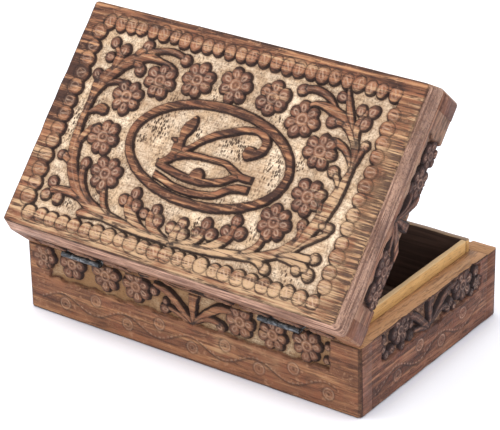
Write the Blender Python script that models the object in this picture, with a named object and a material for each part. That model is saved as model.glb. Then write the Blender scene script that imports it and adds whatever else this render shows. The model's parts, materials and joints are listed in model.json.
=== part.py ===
"""Carved wooden puzzle box: a hinged box with a hidden sliding lock in its front wall.

Units are metres. The front is at -Y, the hinges are at +Y and +Z is up. The origin is the centre of the
base's underside. The lid stands open: its pieces hang on an empty whose origin is the hinge axis.
"""
import math

import bmesh
import bpy
from mathutils import Matrix, Vector

# ---------------------------------------------------------------- driving dimensions
BOX_WIDTH = 0.203
BOX_DEPTH = 0.126
BASE_HEIGHT = 0.0376
LID_HEIGHT = 0.0280
LID_OPEN = math.radians(48.0)
GAP = 0.0003                     # between pieces that touch

WALL = 0.0100                    # thickness of the walls and the lid rails
CORNER_ROUND = 0.0025            # worn vertical corners
FOOT_ROUND = 0.0008              # worn lower edges

FLOOR_THICK = 0.0050
FLOOR_REBATE = 0.0050            # how far the floor board reaches under the walls

LINER_THICK = 0.0030
LINER_ABOVE_RIM = 0.0068
FRONT_LINER_GAP = 0.0005         # the lid's front rail swings past this strip

PANEL_THICK = 0.0108             # lid top board
PANEL_INSET = 0.0023             # how far its edges slope in

# hinges
HINGE_CENTRES = {"hinge_left": -0.056, "hinge_right": 0.065}
HINGE_LENGTH = 0.0240
HINGE_KNUCKLES = 4
KNUCKLE_RADIUS = 0.00165
KNUCKLE_BORE = 0.00105
PIN_RADIUS = 0.00075
AXIS_OUTSIDE = 0.0006            # hinge axis behind the rear faces
LEAF_WIDTH = 0.0072
LEAF_THICK = 0.0010
LEAF_NAIL_SPACING = 0.0150
BARREL_NOTCH = 0.0020            # half height of the notch round a barrel
NOTCH_EXTRA = 0.0016             # the notch runs past one end of the barrel

# nails
NAIL_SHANK = 0.0006
NAIL_HEAD = 0.0012
NAIL_HEAD_THICK = 0.00035
LEAF_NAIL_LENGTH = 0.0070
FLOOR_NAIL_LENGTH = 0.0150
CATCH_NAIL_LENGTH = 0.0056

# secret lock
KEY_TRAVEL = 0.0100
KEY_LENGTH = 0.1000
KEY_DEPTH = 0.0030
KEY_FACE = (0.0082, 0.0148)      # lower and upper edge of the strip on the front face
KEY_FLARE = 0.0015               # how far the dovetail widens inwards
KEY_Z = (KEY_FACE[0] + KEY_FACE[1]) / 2
PEG_RADIUS = 0.0026
PEG_X = -0.0380
PEG_TRAVEL = 0.0037
PEG_LENGTH = 0.0066
LINK_RADIUS = 0.0020
LINK_X = 0.0370
CHANNEL_DEPTH = 0.0046           # channel for the bolt, in the wall's inner face
BOLT_THICK = 0.0040
BOLT_BAR = (0.0252, 0.0308)      # lower and upper edge of the bolt's bar
BOLT_TIP_X = 0.0085
BOLT_END_X = 0.0440
BOLT_LEG_X = 0.0300
BOLT_LEG_FOOT = 0.0085
CATCH_WIDTH = 0.0100
CATCH_THICK = 0.0024
CATCH_DROP = 0.0150              # below the lid's underside
CATCH_TENON = 0.0110             # above it, in the rail
CATCH_SLOT = 0.0062              # half width of the slot it drops into
CATCH_NOTCH = (0.0060, 0.0130)   # below the lid's underside, where the bolt's tip goes

# ---------------------------------------------------------------- derived places
HALF_W = BOX_WIDTH / 2
HALF_D = BOX_DEPTH / 2
RIM = BASE_HEIGHT
JOINT_Z = RIM + GAP / 2
LID_BASE = RIM + GAP
AXIS = Vector((0.0, HALF_D + AXIS_OUTSIDE, JOINT_Z))
RAIL_TOP = LID_BASE + LID_HEIGHT - PANEL_THICK - GAP
LID_TOP = LID_BASE + LID_HEIGHT
CHANNEL_FLOOR = -HALF_D + WALL - CHANNEL_DEPTH
BOLT_Y = (CHANNEL_FLOOR + GAP, CHANNEL_FLOOR + GAP + BOLT_THICK)
CATCH_Y = CHANNEL_FLOOR + 0.0010 + CATCH_THICK / 2
BIG = 0.001                      # how far a cutter overshoots a face

COLOURS = {
    "carved_wood": ((0.26, 0.13, 0.075), 0.62, 0.0),
    "liner_wood": ((0.62, 0.40, 0.14), 0.55, 0.0),
    "dark_wood": ((0.09, 0.05, 0.035), 0.70, 0.0),
    "dark_iron": ((0.10, 0.11, 0.12), 0.45, 0.9),
    "nail_iron": ((0.16, 0.16, 0.16), 0.40, 0.9),
}


# ---------------------------------------------------------------- scene and helpers
def clear_scene():
    for old in list(bpy.data.objects):
        bpy.data.objects.remove(old, do_unlink=True)


def new_collection(name):
    collection = bpy.data.collections.new(name)
    bpy.context.scene.collection.children.link(collection)
    return collection


clear_scene()
BOX = new_collection("puzzle_box")
CUTTERS = new_collection("cutters")


def material(slot, name):
    colour, roughness, metallic = COLOURS[slot]
    made = bpy.data.materials.new(slot + "_" + name)
    made.use_nodes = True
    shader = made.node_tree.nodes["Principled BSDF"]
    shader.inputs["Base Color"].default_value = (*colour, 1.0)
    shader.inputs["Roughness"].default_value = roughness
    shader.inputs["Metallic"].default_value = metallic
    made.diffuse_color = (*colour, 1.0)
    return made


def place(mesh_name, shape, slot=None, origin=None, parent=None, smooth=False):
    """Turn a bmesh into an object; without a slot it is a cutter. The origin is in world coordinates."""
    origin = Vector(origin) if origin else Vector((0.0, 0.0, 0.0))
    bmesh.ops.translate(shape, vec=-origin, verts=shape.verts)
    bmesh.ops.recalc_face_normals(shape, faces=shape.faces)
    mesh = bpy.data.meshes.new(mesh_name)
    shape.to_mesh(mesh)
    shape.free()
    made = bpy.data.objects.new(mesh_name, mesh)
    if smooth:
        mesh.shade_smooth()
        mesh.set_sharp_from_angle(angle=math.radians(40.0))
    if slot:
        BOX.objects.link(made)
        mesh.materials.append(material(slot, mesh_name))
    else:
        CUTTERS.objects.link(made)
        made.hide_render = True
        made.display_type = "WIRE"
    if parent:
        made.parent = parent
        made.location = origin - AXIS
    else:
        made.location = origin
    return made


def add_box(shape, low, high):
    """Add a box between two corners and return its vertices."""
    low = Vector(low)
    high = Vector(high)
    centre = (low + high) / 2
    size = high - low
    matrix = Matrix.Translation(centre) @ Matrix.Diagonal((*size, 1.0))
    return bmesh.ops.create_cube(shape, size=1.0, matrix=matrix)["verts"]


def add_cylinder(shape, start, axis, length, radius, sides=16):
    """Add a cylinder that runs from start along axis."""
    axis = Vector(axis).normalized()
    turn = axis.to_track_quat("Z", "Y").to_matrix().to_4x4()
    middle = Vector(start) + axis * length / 2
    bmesh.ops.create_cone(shape, cap_ends=True, segments=sides, radius1=radius, radius2=radius,
                          depth=length, matrix=Matrix.Translation(middle) @ turn)


def box(name, low, high, slot=None, parent=None, origin=None):
    shape = bmesh.new()
    add_box(shape, low, high)
    return place(name, shape, slot, origin, parent)


def bevel_edges(shape, keep, width, segments):
    """Bevel the edges for which keep(middle, direction) is true."""
    chosen = []
    for edge in shape.edges:
        first, second = edge.verts
        direction = (second.co - first.co).normalized()
        if keep((first.co + second.co) / 2, direction):
            chosen.append(edge)
    bmesh.ops.bevel(shape, geom=chosen, offset=width, offset_type="OFFSET", segments=segments, profile=0.5,
                    affect="EDGES")


def change(target, tool, operation):
    step = target.modifiers.new(tool.name, "BOOLEAN")
    step.operation = operation
    step.solver = "EXACT"
    step.object = tool


def cut(target, *tools):
    for tool in tools:
        change(target, tool, "DIFFERENCE")


def join(target, *tools):
    for tool in tools:
        change(target, tool, "UNION")


def outer_corner(centre, direction):
    """True for the vertical edges at the box's four corners."""
    at_corner = abs(centre.x) > HALF_W - GAP and abs(centre.y) > HALF_D - GAP
    return at_corner and abs(direction.z) > 0.9


def board(name, low, high, slot="carved_wood", parent=None, worn_foot=False):
    """A board whose outer vertical corners, and foot where asked, are worn round."""
    shape = bmesh.new()
    add_box(shape, low, high)
    bevel_edges(shape, outer_corner, CORNER_ROUND, 4)
    if worn_foot:
        bevel_edges(shape, lower_outer_edge, FOOT_ROUND, 2)
    return place(name, shape, slot, AXIS if parent else None, parent)


def lower_outer_edge(centre, direction):
    """True for the edges along the outer faces at the base's underside."""
    outside = abs(centre.x) > HALF_W - CORNER_ROUND or abs(centre.y) > HALF_D - CORNER_ROUND
    if abs(direction.x) > 0.9:
        outside = abs(centre.y) > HALF_D - GAP
    if abs(direction.y) > 0.9:
        outside = abs(centre.x) > HALF_W - GAP
    return outside and centre.z < GAP and abs(direction.z) < 0.5


def nail(name, head, axis, length, parent=None):
    """A wire nail: head is the centre of the head's outer face, axis points from the head to the tip."""
    profile = [(0.0, 0.0), (NAIL_HEAD, 0.0), (NAIL_HEAD, -NAIL_HEAD_THICK), (NAIL_SHANK, -NAIL_HEAD_THICK),
               (NAIL_SHANK, -length + NAIL_SHANK * 2), (0.0, -length)]
    shape = bmesh.new()
    points = [shape.verts.new((radius, 0.0, height)) for radius, height in profile]
    for first, second in zip(points, points[1:]):
        shape.edges.new((first, second))
    bmesh.ops.spin(shape, geom=shape.verts[:] + shape.edges[:], cent=(0, 0, 0), axis=(0, 0, 1),
                   angle=math.tau, steps=12, use_merge=True)
    bmesh.ops.remove_doubles(shape, verts=shape.verts, dist=0.00002)
    turn = (-Vector(axis)).to_track_quat("Z", "Y").to_matrix().to_4x4()
    bmesh.ops.transform(shape, matrix=Matrix.Translation(Vector(head)) @ turn, verts=shape.verts)
    return place(name, shape, "nail_iron", head if parent is None else AXIS, parent, smooth=True)


def nail_holes(name, heads, axis, length, parent=None, countersunk=True):
    """A cutter for nails at these heads: shank holes, with room for the heads where asked."""
    axis = Vector(axis)
    shape = bmesh.new()
    for head in heads:
        add_cylinder(shape, Vector(head) - axis * BIG, axis, length + GAP + BIG, NAIL_SHANK + GAP, 12)
    shanks = place(name + "_shanks", shape, None, AXIS if parent else None, parent)
    if not countersunk:
        return [shanks]
    shape = bmesh.new()
    for head in heads:
        add_cylinder(shape, Vector(head) - axis * BIG, axis, BIG + NAIL_HEAD_THICK + GAP * 0.8,
                     NAIL_HEAD + GAP, 12)
    return [place(name + "_heads", shape, None, AXIS if parent else None, parent), shanks]


# ---------------------------------------------------------------- base
def hinge_mortises(centre, side, parent=None):
    """Cutters for one hinge in the base (side -1) or the lid (side +1): a leaf recess and a barrel notch."""
    face = JOINT_Z + side * GAP / 2
    half = HINGE_LENGTH / 2
    depth = LEAF_THICK + GAP
    inner = AXIS.y - KNUCKLE_RADIUS - GAP - LEAF_WIDTH - GAP
    leaf_z = sorted((face - side * BIG, face + side * depth))
    notch_z = sorted((face - side * BIG, JOINT_Z + side * BARREL_NOTCH))
    tag = "lid" if side > 0 else "base"
    name = "mortise_%s_%+d" % (tag, round(centre * 1000))
    origin = AXIS if parent else None
    leaf = box(name, (centre - half - GAP, inner, leaf_z[0]), (centre + half + GAP, HALF_D + BIG, leaf_z[1]),
               None, parent, origin)
    notch = box(name + "_barrel", (centre - half - NOTCH_EXTRA, AXIS.y - BARREL_NOTCH, notch_z[0]),
                (centre + half + GAP, HALF_D + BIG, notch_z[1]), None, parent, origin)
    return [leaf, notch]


def leaf_nail_heads(centre, side):
    """Centres of the two nail heads in one leaf, on the face that meets the other leaf."""
    face = JOINT_Z + side * GAP / 2
    y = AXIS.y - KNUCKLE_RADIUS - GAP - LEAF_WIDTH / 2
    return [(centre + along * LEAF_NAIL_SPACING / 2, y, face) for along in (-1, 1)]


def floor_nail_heads():
    """Centres of the floor nails' heads, just inside the underside, over the walls' rebates."""
    inset = WALL - FLOOR_REBATE / 2
    height = 0.0003
    heads = [(x, side * (HALF_D - inset), height) for side in (-1, 1) for x in (-0.070, 0.0, 0.070)]
    heads += [(side * (HALF_W - inset), 0.0, height) for side in (-1, 1)]
    return heads


def make_base():
    rebate = box("floor_rebate", (-HALF_W + WALL - FLOOR_REBATE, -HALF_D + WALL - FLOOR_REBATE, -BIG),
                 (HALF_W - WALL + FLOOR_REBATE, HALF_D - WALL + FLOOR_REBATE, FLOOR_THICK))
    holes = nail_holes("floor_nails", floor_nail_heads(), (0, 0, 1), FLOOR_NAIL_LENGTH)
    walls = {
        "base_front_wall": ((-HALF_W, -HALF_D, 0.0), (HALF_W, -HALF_D + WALL, RIM)),
        "base_rear_wall": ((-HALF_W, HALF_D - WALL, 0.0), (HALF_W, HALF_D, RIM)),
        "base_left_wall": ((-HALF_W, -HALF_D + WALL + GAP, 0.0), (-HALF_W + WALL, HALF_D - WALL - GAP, RIM)),
        "base_right_wall": ((HALF_W - WALL, -HALF_D + WALL + GAP, 0.0), (HALF_W, HALF_D - WALL - GAP, RIM)),
    }
    made = {}
    for name, (low, high) in walls.items():
        made[name] = board(name, low, high, worn_foot=True)
        cut(made[name], rebate, holes[1])
    edge = FLOOR_REBATE - GAP
    made["base_floor"] = box("base_floor", (-HALF_W + WALL - edge, -HALF_D + WALL - edge, 0.0),
                             (HALF_W - WALL + edge, HALF_D - WALL + edge, FLOOR_THICK - GAP), "dark_wood")
    cut(made["base_floor"], *holes)
    for number, head in enumerate(floor_nail_heads(), 1):
        nail("floor_nail_%d" % number, head, (0, 0, 1), FLOOR_NAIL_LENGTH)
    return made


def make_liners():
    inner_x = HALF_W - WALL - GAP
    front = -HALF_D + WALL + FRONT_LINER_GAP
    back = HALF_D - WALL - GAP
    top = RIM + LINER_ABOVE_RIM
    strips = {
        "liner_front": ((-inner_x, front, FLOOR_THICK), (inner_x, front + LINER_THICK, top)),
        "liner_left": ((-inner_x, front + LINER_THICK + GAP, FLOOR_THICK), (-inner_x + LINER_THICK, back, top)),
        "liner_right": ((inner_x - LINER_THICK, front + LINER_THICK + GAP, FLOOR_THICK), (inner_x, back, top)),
    }
    for name, (low, high) in strips.items():
        shape = bmesh.new()
        add_box(shape, low, high)
        bevel_edges(shape, lambda middle, direction: middle.z > top - GAP and abs(direction.z) < 0.5, 0.0004, 1)
        place(name, shape, "liner_wood")


# ---------------------------------------------------------------- secret lock in the front wall
def dovetail(name, low_x, high_x, clearance, slot=None):
    """A bar along X with a dovetail section, narrow at the front face and wider inside."""
    outer = -HALF_D if slot else -HALF_D - BIG
    inner = -HALF_D + KEY_DEPTH + clearance
    shape = bmesh.new()
    verts = add_box(shape, (low_x, outer, 0.0), (high_x, inner, 1.0))
    for vert in verts:
        widen = KEY_FLARE * (vert.co.y + HALF_D) / KEY_DEPTH + clearance
        vert.co.z = KEY_FACE[1] + widen if vert.co.z > 0.5 else KEY_FACE[0] - widen
    return place(name, shape, slot)


def make_lock(front_wall):
    half = KEY_LENGTH / 2
    groove = dovetail("key_groove", -half - KEY_TRAVEL - GAP, half + GAP, GAP)
    channel = box("bolt_channel", (-CATCH_SLOT, CHANNEL_FLOOR, BOLT_BAR[0] - GAP),
                  (BOLT_END_X + GAP, -HALF_D + WALL + BIG, BOLT_BAR[1] + GAP))
    leg_room = box("bolt_leg_room", (BOLT_LEG_X - KEY_TRAVEL - GAP, CHANNEL_FLOOR, BOLT_LEG_FOOT - GAP),
                   (BOLT_END_X + GAP, -HALF_D + WALL + BIG, BOLT_BAR[1] + GAP))
    catch_room = box("catch_slot", (-CATCH_SLOT, CHANNEL_FLOOR, RIM - CATCH_DROP - 0.0016),
                     (CATCH_SLOT, -HALF_D + WALL + BIG, RIM + BIG))
    link_slot = box("link_slot", (LINK_X - KEY_TRAVEL - LINK_RADIUS - GAP, -HALF_D + KEY_DEPTH - BIG,
                                  KEY_Z - LINK_RADIUS - GAP),
                    (LINK_X + LINK_RADIUS + GAP, CHANNEL_FLOOR + BIG, KEY_Z + LINK_RADIUS + GAP))
    shape = bmesh.new()
    for shift in (0.0, -KEY_TRAVEL):
        add_cylinder(shape, (PEG_X + shift, -HALF_D + BIG, KEY_Z), (0, 1, 0),
                     PEG_LENGTH + GAP - BIG, PEG_RADIUS + GAP, 20)
    stop_holes = place("stop_peg_holes", shape)
    cut(front_wall, groove, channel, leg_room, catch_room, link_slot, stop_holes)

    strip = dovetail("key_strip", -half, half, 0.0, "carved_wood")
    shape = bmesh.new()
    add_cylinder(shape, (PEG_X, -HALF_D - BIG, KEY_Z), (0, 1, 0), KEY_DEPTH + 2 * BIG, PEG_RADIUS + GAP, 20)
    peg_hole = place("stop_peg_bore", shape)
    link_start = -HALF_D + KEY_DEPTH - 0.0018
    link_end = BOLT_Y[1] - 0.0008
    shape = bmesh.new()
    add_cylinder(shape, (LINK_X, link_start - GAP, KEY_Z), (0, 1, 0), link_end - link_start + 2 * GAP,
                 LINK_RADIUS + GAP, 16)
    link_hole = place("link_bore", shape)
    cut(strip, peg_hole, link_hole)

    shape = bmesh.new()
    add_cylinder(shape, (LINK_X, link_start, KEY_Z), (0, 1, 0), link_end - link_start, LINK_RADIUS, 16)
    place("link_pin", shape, "liner_wood", smooth=True)

    bolt = box("lock_bolt", (BOLT_TIP_X, BOLT_Y[0], BOLT_BAR[0]), (BOLT_END_X, BOLT_Y[1], BOLT_BAR[1]),
               "liner_wood")
    leg = box("lock_bolt_leg", (BOLT_LEG_X, BOLT_Y[0], BOLT_LEG_FOOT), (BOLT_END_X, BOLT_Y[1], BOLT_BAR[1]))
    join(bolt, leg)
    cut(bolt, link_hole)

    shape = bmesh.new()
    add_cylinder(shape, (PEG_X, -HALF_D - PEG_TRAVEL, KEY_Z), (0, 1, 0), PEG_LENGTH, PEG_RADIUS, 20)
    bevel_edges(shape, lambda middle, direction: middle.y < -HALF_D - PEG_TRAVEL + GAP, 0.0004, 1)
    place("stop_peg", shape, "carved_wood", (PEG_X, -HALF_D - PEG_TRAVEL, KEY_Z), smooth=True)


# ---------------------------------------------------------------- lid
def make_lid(lid_axis):
    rails = {
        "lid_front_rail": ((-HALF_W, -HALF_D, LID_BASE), (HALF_W, -HALF_D + WALL, RAIL_TOP)),
        "lid_rear_rail": ((-HALF_W, HALF_D - WALL, LID_BASE), (HALF_W, HALF_D, RAIL_TOP)),
        "lid_left_rail": ((-HALF_W, -HALF_D + WALL + GAP, LID_BASE),
                          (-HALF_W + WALL, HALF_D - WALL - GAP, RAIL_TOP)),
        "lid_right_rail": ((HALF_W - WALL, -HALF_D + WALL + GAP, LID_BASE),
                           (HALF_W, HALF_D - WALL - GAP, RAIL_TOP)),
    }
    made = {name: board(name, low, high, parent=lid_axis) for name, (low, high) in rails.items()}

    shape = bmesh.new()
    add_box(shape, (-HALF_W, -HALF_D, RAIL_TOP + GAP), (HALF_W, HALF_D, LID_TOP))
    bevel_edges(shape, outer_corner, CORNER_ROUND, 4)
    for vert in shape.verts:
        if vert.co.z > LID_TOP - GAP:
            vert.co.x *= (HALF_W - PANEL_INSET) / HALF_W
            vert.co.y *= (HALF_D - PANEL_INSET) / HALF_D
    place("lid_top_panel", shape, "carved_wood", AXIS, lid_axis)
    return made


def make_catch(front_rail, lid_axis):
    """An iron tongue let into the rail. Its side notch takes the bolt's tip when the lid is shut."""
    low = (-CATCH_WIDTH / 2, CATCH_Y - CATCH_THICK / 2, LID_BASE - CATCH_DROP)
    high = (CATCH_WIDTH / 2, CATCH_Y + CATCH_THICK / 2, LID_BASE + CATCH_TENON)
    catch = box("lid_catch", low, high, "dark_iron", lid_axis, AXIS)
    notch = box("catch_notch", (-CATCH_WIDTH / 2 + 0.0030, low[1] - BIG, LID_BASE - CATCH_NOTCH[1]),
                (CATCH_WIDTH / 2 + BIG, high[1] + BIG, LID_BASE - CATCH_NOTCH[0]), None, lid_axis, AXIS)
    tenon = box("catch_tenon", (low[0] - GAP, low[1] - GAP, LID_BASE - BIG),
                (high[0] + GAP, high[1] + GAP, high[2] + GAP), None, lid_axis, AXIS)
    inner_face = -HALF_D + WALL
    heads = [(side * CATCH_WIDTH / 4, inner_face - 0.0002, LID_BASE + CATCH_TENON / 2) for side in (-1, 1)]
    holes = nail_holes("catch_nails", heads, (0, -1, 0), CATCH_NAIL_LENGTH, lid_axis)
    cut(catch, notch, holes[1])
    cut(front_rail, tenon, *holes)
    for number, head in enumerate(heads, 1):
        nail("catch_nail_%d" % number, head, (0, -1, 0), CATCH_NAIL_LENGTH, lid_axis)


# ---------------------------------------------------------------- hinges
def make_leaf(hinge, centre, side, parent=None):
    """One leaf with every second knuckle. side is -1 for the base leaf and +1 for the lid leaf."""
    tag = "lid" if side > 0 else "base"
    name = "%s_%s_leaf" % (hinge, tag)
    origin = AXIS if parent else None
    face = JOINT_Z + side * GAP / 2
    heights = sorted((face, face + side * LEAF_THICK))
    half = HINGE_LENGTH / 2
    plate_end = AXIS.y - KNUCKLE_RADIUS - GAP
    leaf = box(name, (centre - half, plate_end - LEAF_WIDTH, heights[0]), (centre + half, plate_end, heights[1]),
               "dark_iron", parent, origin)
    pitch = (HINGE_LENGTH + GAP) / HINGE_KNUCKLES
    first = 1 if side > 0 else 0
    tabs = bmesh.new()
    knuckles = bmesh.new()
    for number in range(first, HINGE_KNUCKLES, 2):
        right = centre + half - number * pitch
        left = right - pitch + GAP
        add_box(tabs, (left, plate_end - 0.0006, heights[0]), (right, AXIS.y - 0.00130, heights[1]))
        add_cylinder(knuckles, (left, AXIS.y, AXIS.z), (1, 0, 0), right - left, KNUCKLE_RADIUS, 20)
    tab_tool = place(name + "_tabs", tabs, None, origin, parent)
    knuckle_tool = place(name + "_knuckles", knuckles, None, origin, parent)
    bore = bmesh.new()
    add_cylinder(bore, (centre - half - BIG, AXIS.y, AXIS.z), (1, 0, 0), HINGE_LENGTH + 2 * BIG, KNUCKLE_BORE, 16)
    bore_tool = place(name + "_bore", bore, None, origin, parent)
    heads = leaf_nail_heads(centre, side)
    holes = nail_holes(name + "_nails", heads, (0, 0, side), LEAF_NAIL_LENGTH, parent)
    join(leaf, tab_tool, knuckle_tool)
    cut(leaf, bore_tool, *holes)
    for number, head in enumerate(heads, 1):
        nail("%s_%s_nail_%d" % (hinge, tag, number), head, (0, 0, side), LEAF_NAIL_LENGTH, parent)
    return holes[1]


def make_hinges(rear_wall, rear_rail, lid_axis):
    for hinge, centre in HINGE_CENTRES.items():
        cut(rear_wall, *hinge_mortises(centre, -1))
        cut(rear_rail, *hinge_mortises(centre, 1, lid_axis))
        cut(rear_wall, make_leaf(hinge, centre, -1))
        cut(rear_rail, make_leaf(hinge, centre, 1, lid_axis))
        shape = bmesh.new()
        half = HINGE_LENGTH / 2 + 0.0002
        add_cylinder(shape, (centre - half, AXIS.y, AXIS.z), (1, 0, 0), 2 * half, PIN_RADIUS, 12)
        place(hinge + "_pin", shape, "nail_iron", (centre, AXIS.y, AXIS.z), smooth=True)


def make_lid_axis():
    """The empty on the hinge axis. Its children are modelled shut, and it holds them open."""
    lid_axis = bpy.data.objects.new("lid_axis", None)
    BOX.objects.link(lid_axis)
    lid_axis.location = AXIS
    lid_axis.rotation_euler = (-LID_OPEN, 0.0, 0.0)
    return lid_axis


def main():
    lid_axis = make_lid_axis()
    base = make_base()
    make_liners()
    make_lock(base["base_front_wall"])
    lid = make_lid(lid_axis)
    make_catch(lid["lid_front_rail"], lid_axis)
    make_hinges(base["base_rear_wall"], lid["lid_rear_rail"], lid_axis)


main()
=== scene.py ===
"""Looks of the carved wooden puzzle box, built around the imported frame.

Carved faces are drawn in millimetres on a grid: u runs along the board and v down it, as seen from outside.
Each carved board is a fine relief, cut to the CAD board's own outline, so that every joint keeps its place.
"""
import json
import math

import bmesh
import bpy
import numpy as np
from mathutils import Matrix, Vector


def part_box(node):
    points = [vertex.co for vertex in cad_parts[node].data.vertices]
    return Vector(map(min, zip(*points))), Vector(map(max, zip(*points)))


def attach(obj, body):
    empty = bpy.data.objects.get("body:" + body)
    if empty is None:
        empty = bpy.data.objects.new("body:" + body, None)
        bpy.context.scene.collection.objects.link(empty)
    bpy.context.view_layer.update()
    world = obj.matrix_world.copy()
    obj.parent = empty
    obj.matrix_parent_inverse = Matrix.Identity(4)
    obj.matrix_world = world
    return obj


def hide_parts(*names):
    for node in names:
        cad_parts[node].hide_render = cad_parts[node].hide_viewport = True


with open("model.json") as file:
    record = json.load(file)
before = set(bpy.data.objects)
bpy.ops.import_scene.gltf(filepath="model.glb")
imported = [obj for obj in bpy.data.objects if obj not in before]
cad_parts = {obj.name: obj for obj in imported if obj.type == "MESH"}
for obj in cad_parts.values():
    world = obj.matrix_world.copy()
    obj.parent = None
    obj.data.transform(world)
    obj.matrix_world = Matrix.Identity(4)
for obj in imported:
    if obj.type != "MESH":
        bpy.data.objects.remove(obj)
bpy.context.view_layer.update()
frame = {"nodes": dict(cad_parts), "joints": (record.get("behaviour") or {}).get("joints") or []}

MM = 0.001

# ---------------------------------------------------------------- camera, light and floor
CAMERA_AIM = Vector((-0.0011, 0.0102, 0.0584))
CAMERA_DISTANCE = 1.153
CAMERA_AZIMUTH = 216.08
CAMERA_ELEVATION = 26.17
CAMERA_ROLL = -1.13
CAMERA_LENS = 166.4
CAMERA_SENSOR = 36.0
SKY_STRENGTH = 1.08
LIGHT_AIM = Vector((0, 0, 0.05))
LIGHTS = [("key", (0.75, 0.55, 1.25), 0.55, 7.0, (1.0, 0.985, 0.96)),       # place, size, power, colour
          ("fill", (-1.1, 0.6, 0.6), 0.9, 2.0, (0.94, 0.97, 1.0))]
FLOOR_SIZE = 4.0
FLOOR_DROP = 0.0002         # the floor lies this far under the box
FLOOR_GLOW = 0.27
CONTACT_REACH = 0.017       # the floor darkens this close to the box

# ---------------------------------------------------------------- carving, in millimetres
STEP = 0.5                  # grid spacing of the reliefs
OVERSHOOT = 3.0             # how far a relief runs past its board before it is trimmed
FAR = 50.0
SKIN = 0.02                 # the highest carved point lies this far under the CAD face
EDGE_START = -0.15          # a carved edge starts to slope this far inside a shape's outline
EDGE_WIDTH = 0.60           # and slopes over this width
CREASE_WIDTH = 0.62         # width of the crease between two shapes
CREASE_DEPTH = 0.42
STORED_REACH = 6.0          # distances are stored up to this
TOP_DEPTH = 1.8             # depth of the lid's ground
BAND_DEPTH = 2.2            # depth of the side bands' ground
BAND_FOOT = 16.8            # the base's bands end this far under the rim
RAIL_BAND_TOP = 3.4         # the lid's bands start this far under the rails' upper edge
BAND_OPEN = 6.0             # a band that is open at the joint runs this far past it
END_BAND_TOP = 0.9          # the base's end bands are closed this far under the rim
BAND_BURN = 0.7             # the end bands are this much darker than their boards
BASE_TONE = -0.28           # the base is this much darker than the lid's rails
PALE_PATCH = (150, 12, 45, 30, 0.55)   # a pale place on each base wall: centre, reach and amount
WAVE_MIDDLE = 27.2          # the engraved wave lies this far under the rim
WAVE_LENGTH = 40.3
WAVE_RISE = 3.4
DASH = 2.6
WAVE_PLACES = (2.2, -4.6)   # how far under the wave's middle its circles lie, in turn

CARVED_FACING = 0.05        # a face turned this far outwards may belong to the carving
CARVED_MARGIN = 0.02        # and it reaches at least this far inside the carved face
EDGE_STRIP = 3.0            # nearer the lid's edge than this, only faces flatter than LID_FACING are carved
LID_FACING = 0.5
LID_END_PAINTED_SHADE = 0.30         # painted shade: the lid panel's end slopes are darkened this much
SHARP_ANGLE = math.radians(60.0)
BUTT_ENDS = ((1, 1.0), (1, -1.0))
UNDER_PANEL = ((2, 1.0),)
PANEL_INSET = 2.3           # how far the lid panel's sloping sides come in

# cuts: width, depth, and how pale and how dark they leave the wood
RIB_CUT = (0.3, 0.16, 0.35)
NAIL_CUT = (0.34, 0.30, 1.0)
COIN_CUT = (0.36, 0.36, 0.0, 0.95)
COIN_RING = (0.30, 0.12, 0.50)
COIN_SLASH = (0.34, 0.22, 1.0)
OVAL_GROOVE = (0.32, 0.40, 0.0, 0.75)
WAVE_OUTLINE = (0.48, 0.16, 0.0, 0.80)
WAVE_OUTLINE_GAP = 0.75
WAVE_CUT = (0.45, 0.34, 0.75)
# the first ring's dark is painted shade round the pale ring inside it
WAVE_RINGS = [(3.5, (0.42, 0.14, 0.0, 0.60)), (2.9, (0.38, 0.34, 0.85)), (1.3, (0.34, 0.24, 0.45))]
WAVE_DOT = (0.48, 0.50, 0.0, 0.95)

# a flower's parts, as shares of its radius
PETAL_REACH = 0.655
PETAL_LONG = 0.345
PETAL_SHORT = 0.325         # of a flower with seven petals
FLOWER_EYE = 0.44
FLOWER_RINGS = [(0.255, (0.40, 0.30, 0.85)), (0.43, (0.30, 0.16, 0.0, 0.45)),
                (0.11, (0.42, 0.30, 0.0, 0.55)), (0.0, (0.40, 0.0, 0.9))]

MAPS = ("cuts", "light", "dark", "tone", "torn", "cool", "marks")
EVERYWHERE = (slice(None), slice(None))

# ---------------------------------------------------------------- joints and liners, in metres
GLUE_LINE = 0.00028         # a glued board reaches this much further, up to its neighbour
LINER_BEVEL = 0.0007
LINER_CUTS = 60
LINER_WEAR = 0.00012        # the upper edge is worn down by up to twice this
LINER_SHARP = math.radians(40.0)

random_source = np.random.default_rng(7)


# ---------------------------------------------------------------- places in the frame
LID_JOINT = next(joint for joint in frame["joints"] if joint["name"] == "lid_hinge")
HINGE_POINT = Vector(LID_JOINT["pos_m"])
LID_ANGLE = -math.radians(LID_JOINT["range_deg"][0])
LID_OPENING = (Matrix.Translation(HINGE_POINT) @ Matrix.Rotation(LID_ANGLE, 4, Vector(LID_JOINT["axis"]))
               @ Matrix.Translation(-HINGE_POINT))
LID_CLOSING = LID_OPENING.inverted()


def shut_box(node):
    """Corners of a lid node with the lid shut."""
    points = [LID_CLOSING @ vertex.co for vertex in frame["nodes"][node].data.vertices]
    return [Vector(pick(point[axis] for point in points) for axis in range(3)) for pick in (min, max)]


REAR_LOW, REAR_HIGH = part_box("base_rear_wall")
HALF_W, HALF_D, RIM = REAR_HIGH
WALL = REAR_HIGH.y - REAR_LOW.y
PANEL_LOW, PANEL_HIGH = shut_box("lid_top_panel")
RAIL_LOW, RAIL_HIGH = shut_box("lid_rear_rail")


class Face:
    """A flat carved face: its top left corner and two directions in the frame, its size in millimetres."""

    def __init__(self, corner, along, down, width, height, edge_facing=CARVED_FACING, end_painted_shade=0.0):
        self.corner, self.along, self.down = (np.array(Vector(part)) for part in (corner, along, down))
        self.normal = np.cross(self.down, self.along)
        self.width = width / MM
        self.height = height / MM
        self.edge_facing = edge_facing
        self.end_painted_shade = end_painted_shade


# ---------------------------------------------------------------- relief drawing
def smooth(low, high, value):
    share = np.clip((value - low) / (high - low), 0.0, 1.0)
    return share * share * (3.0 - 2.0 * share)


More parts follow.
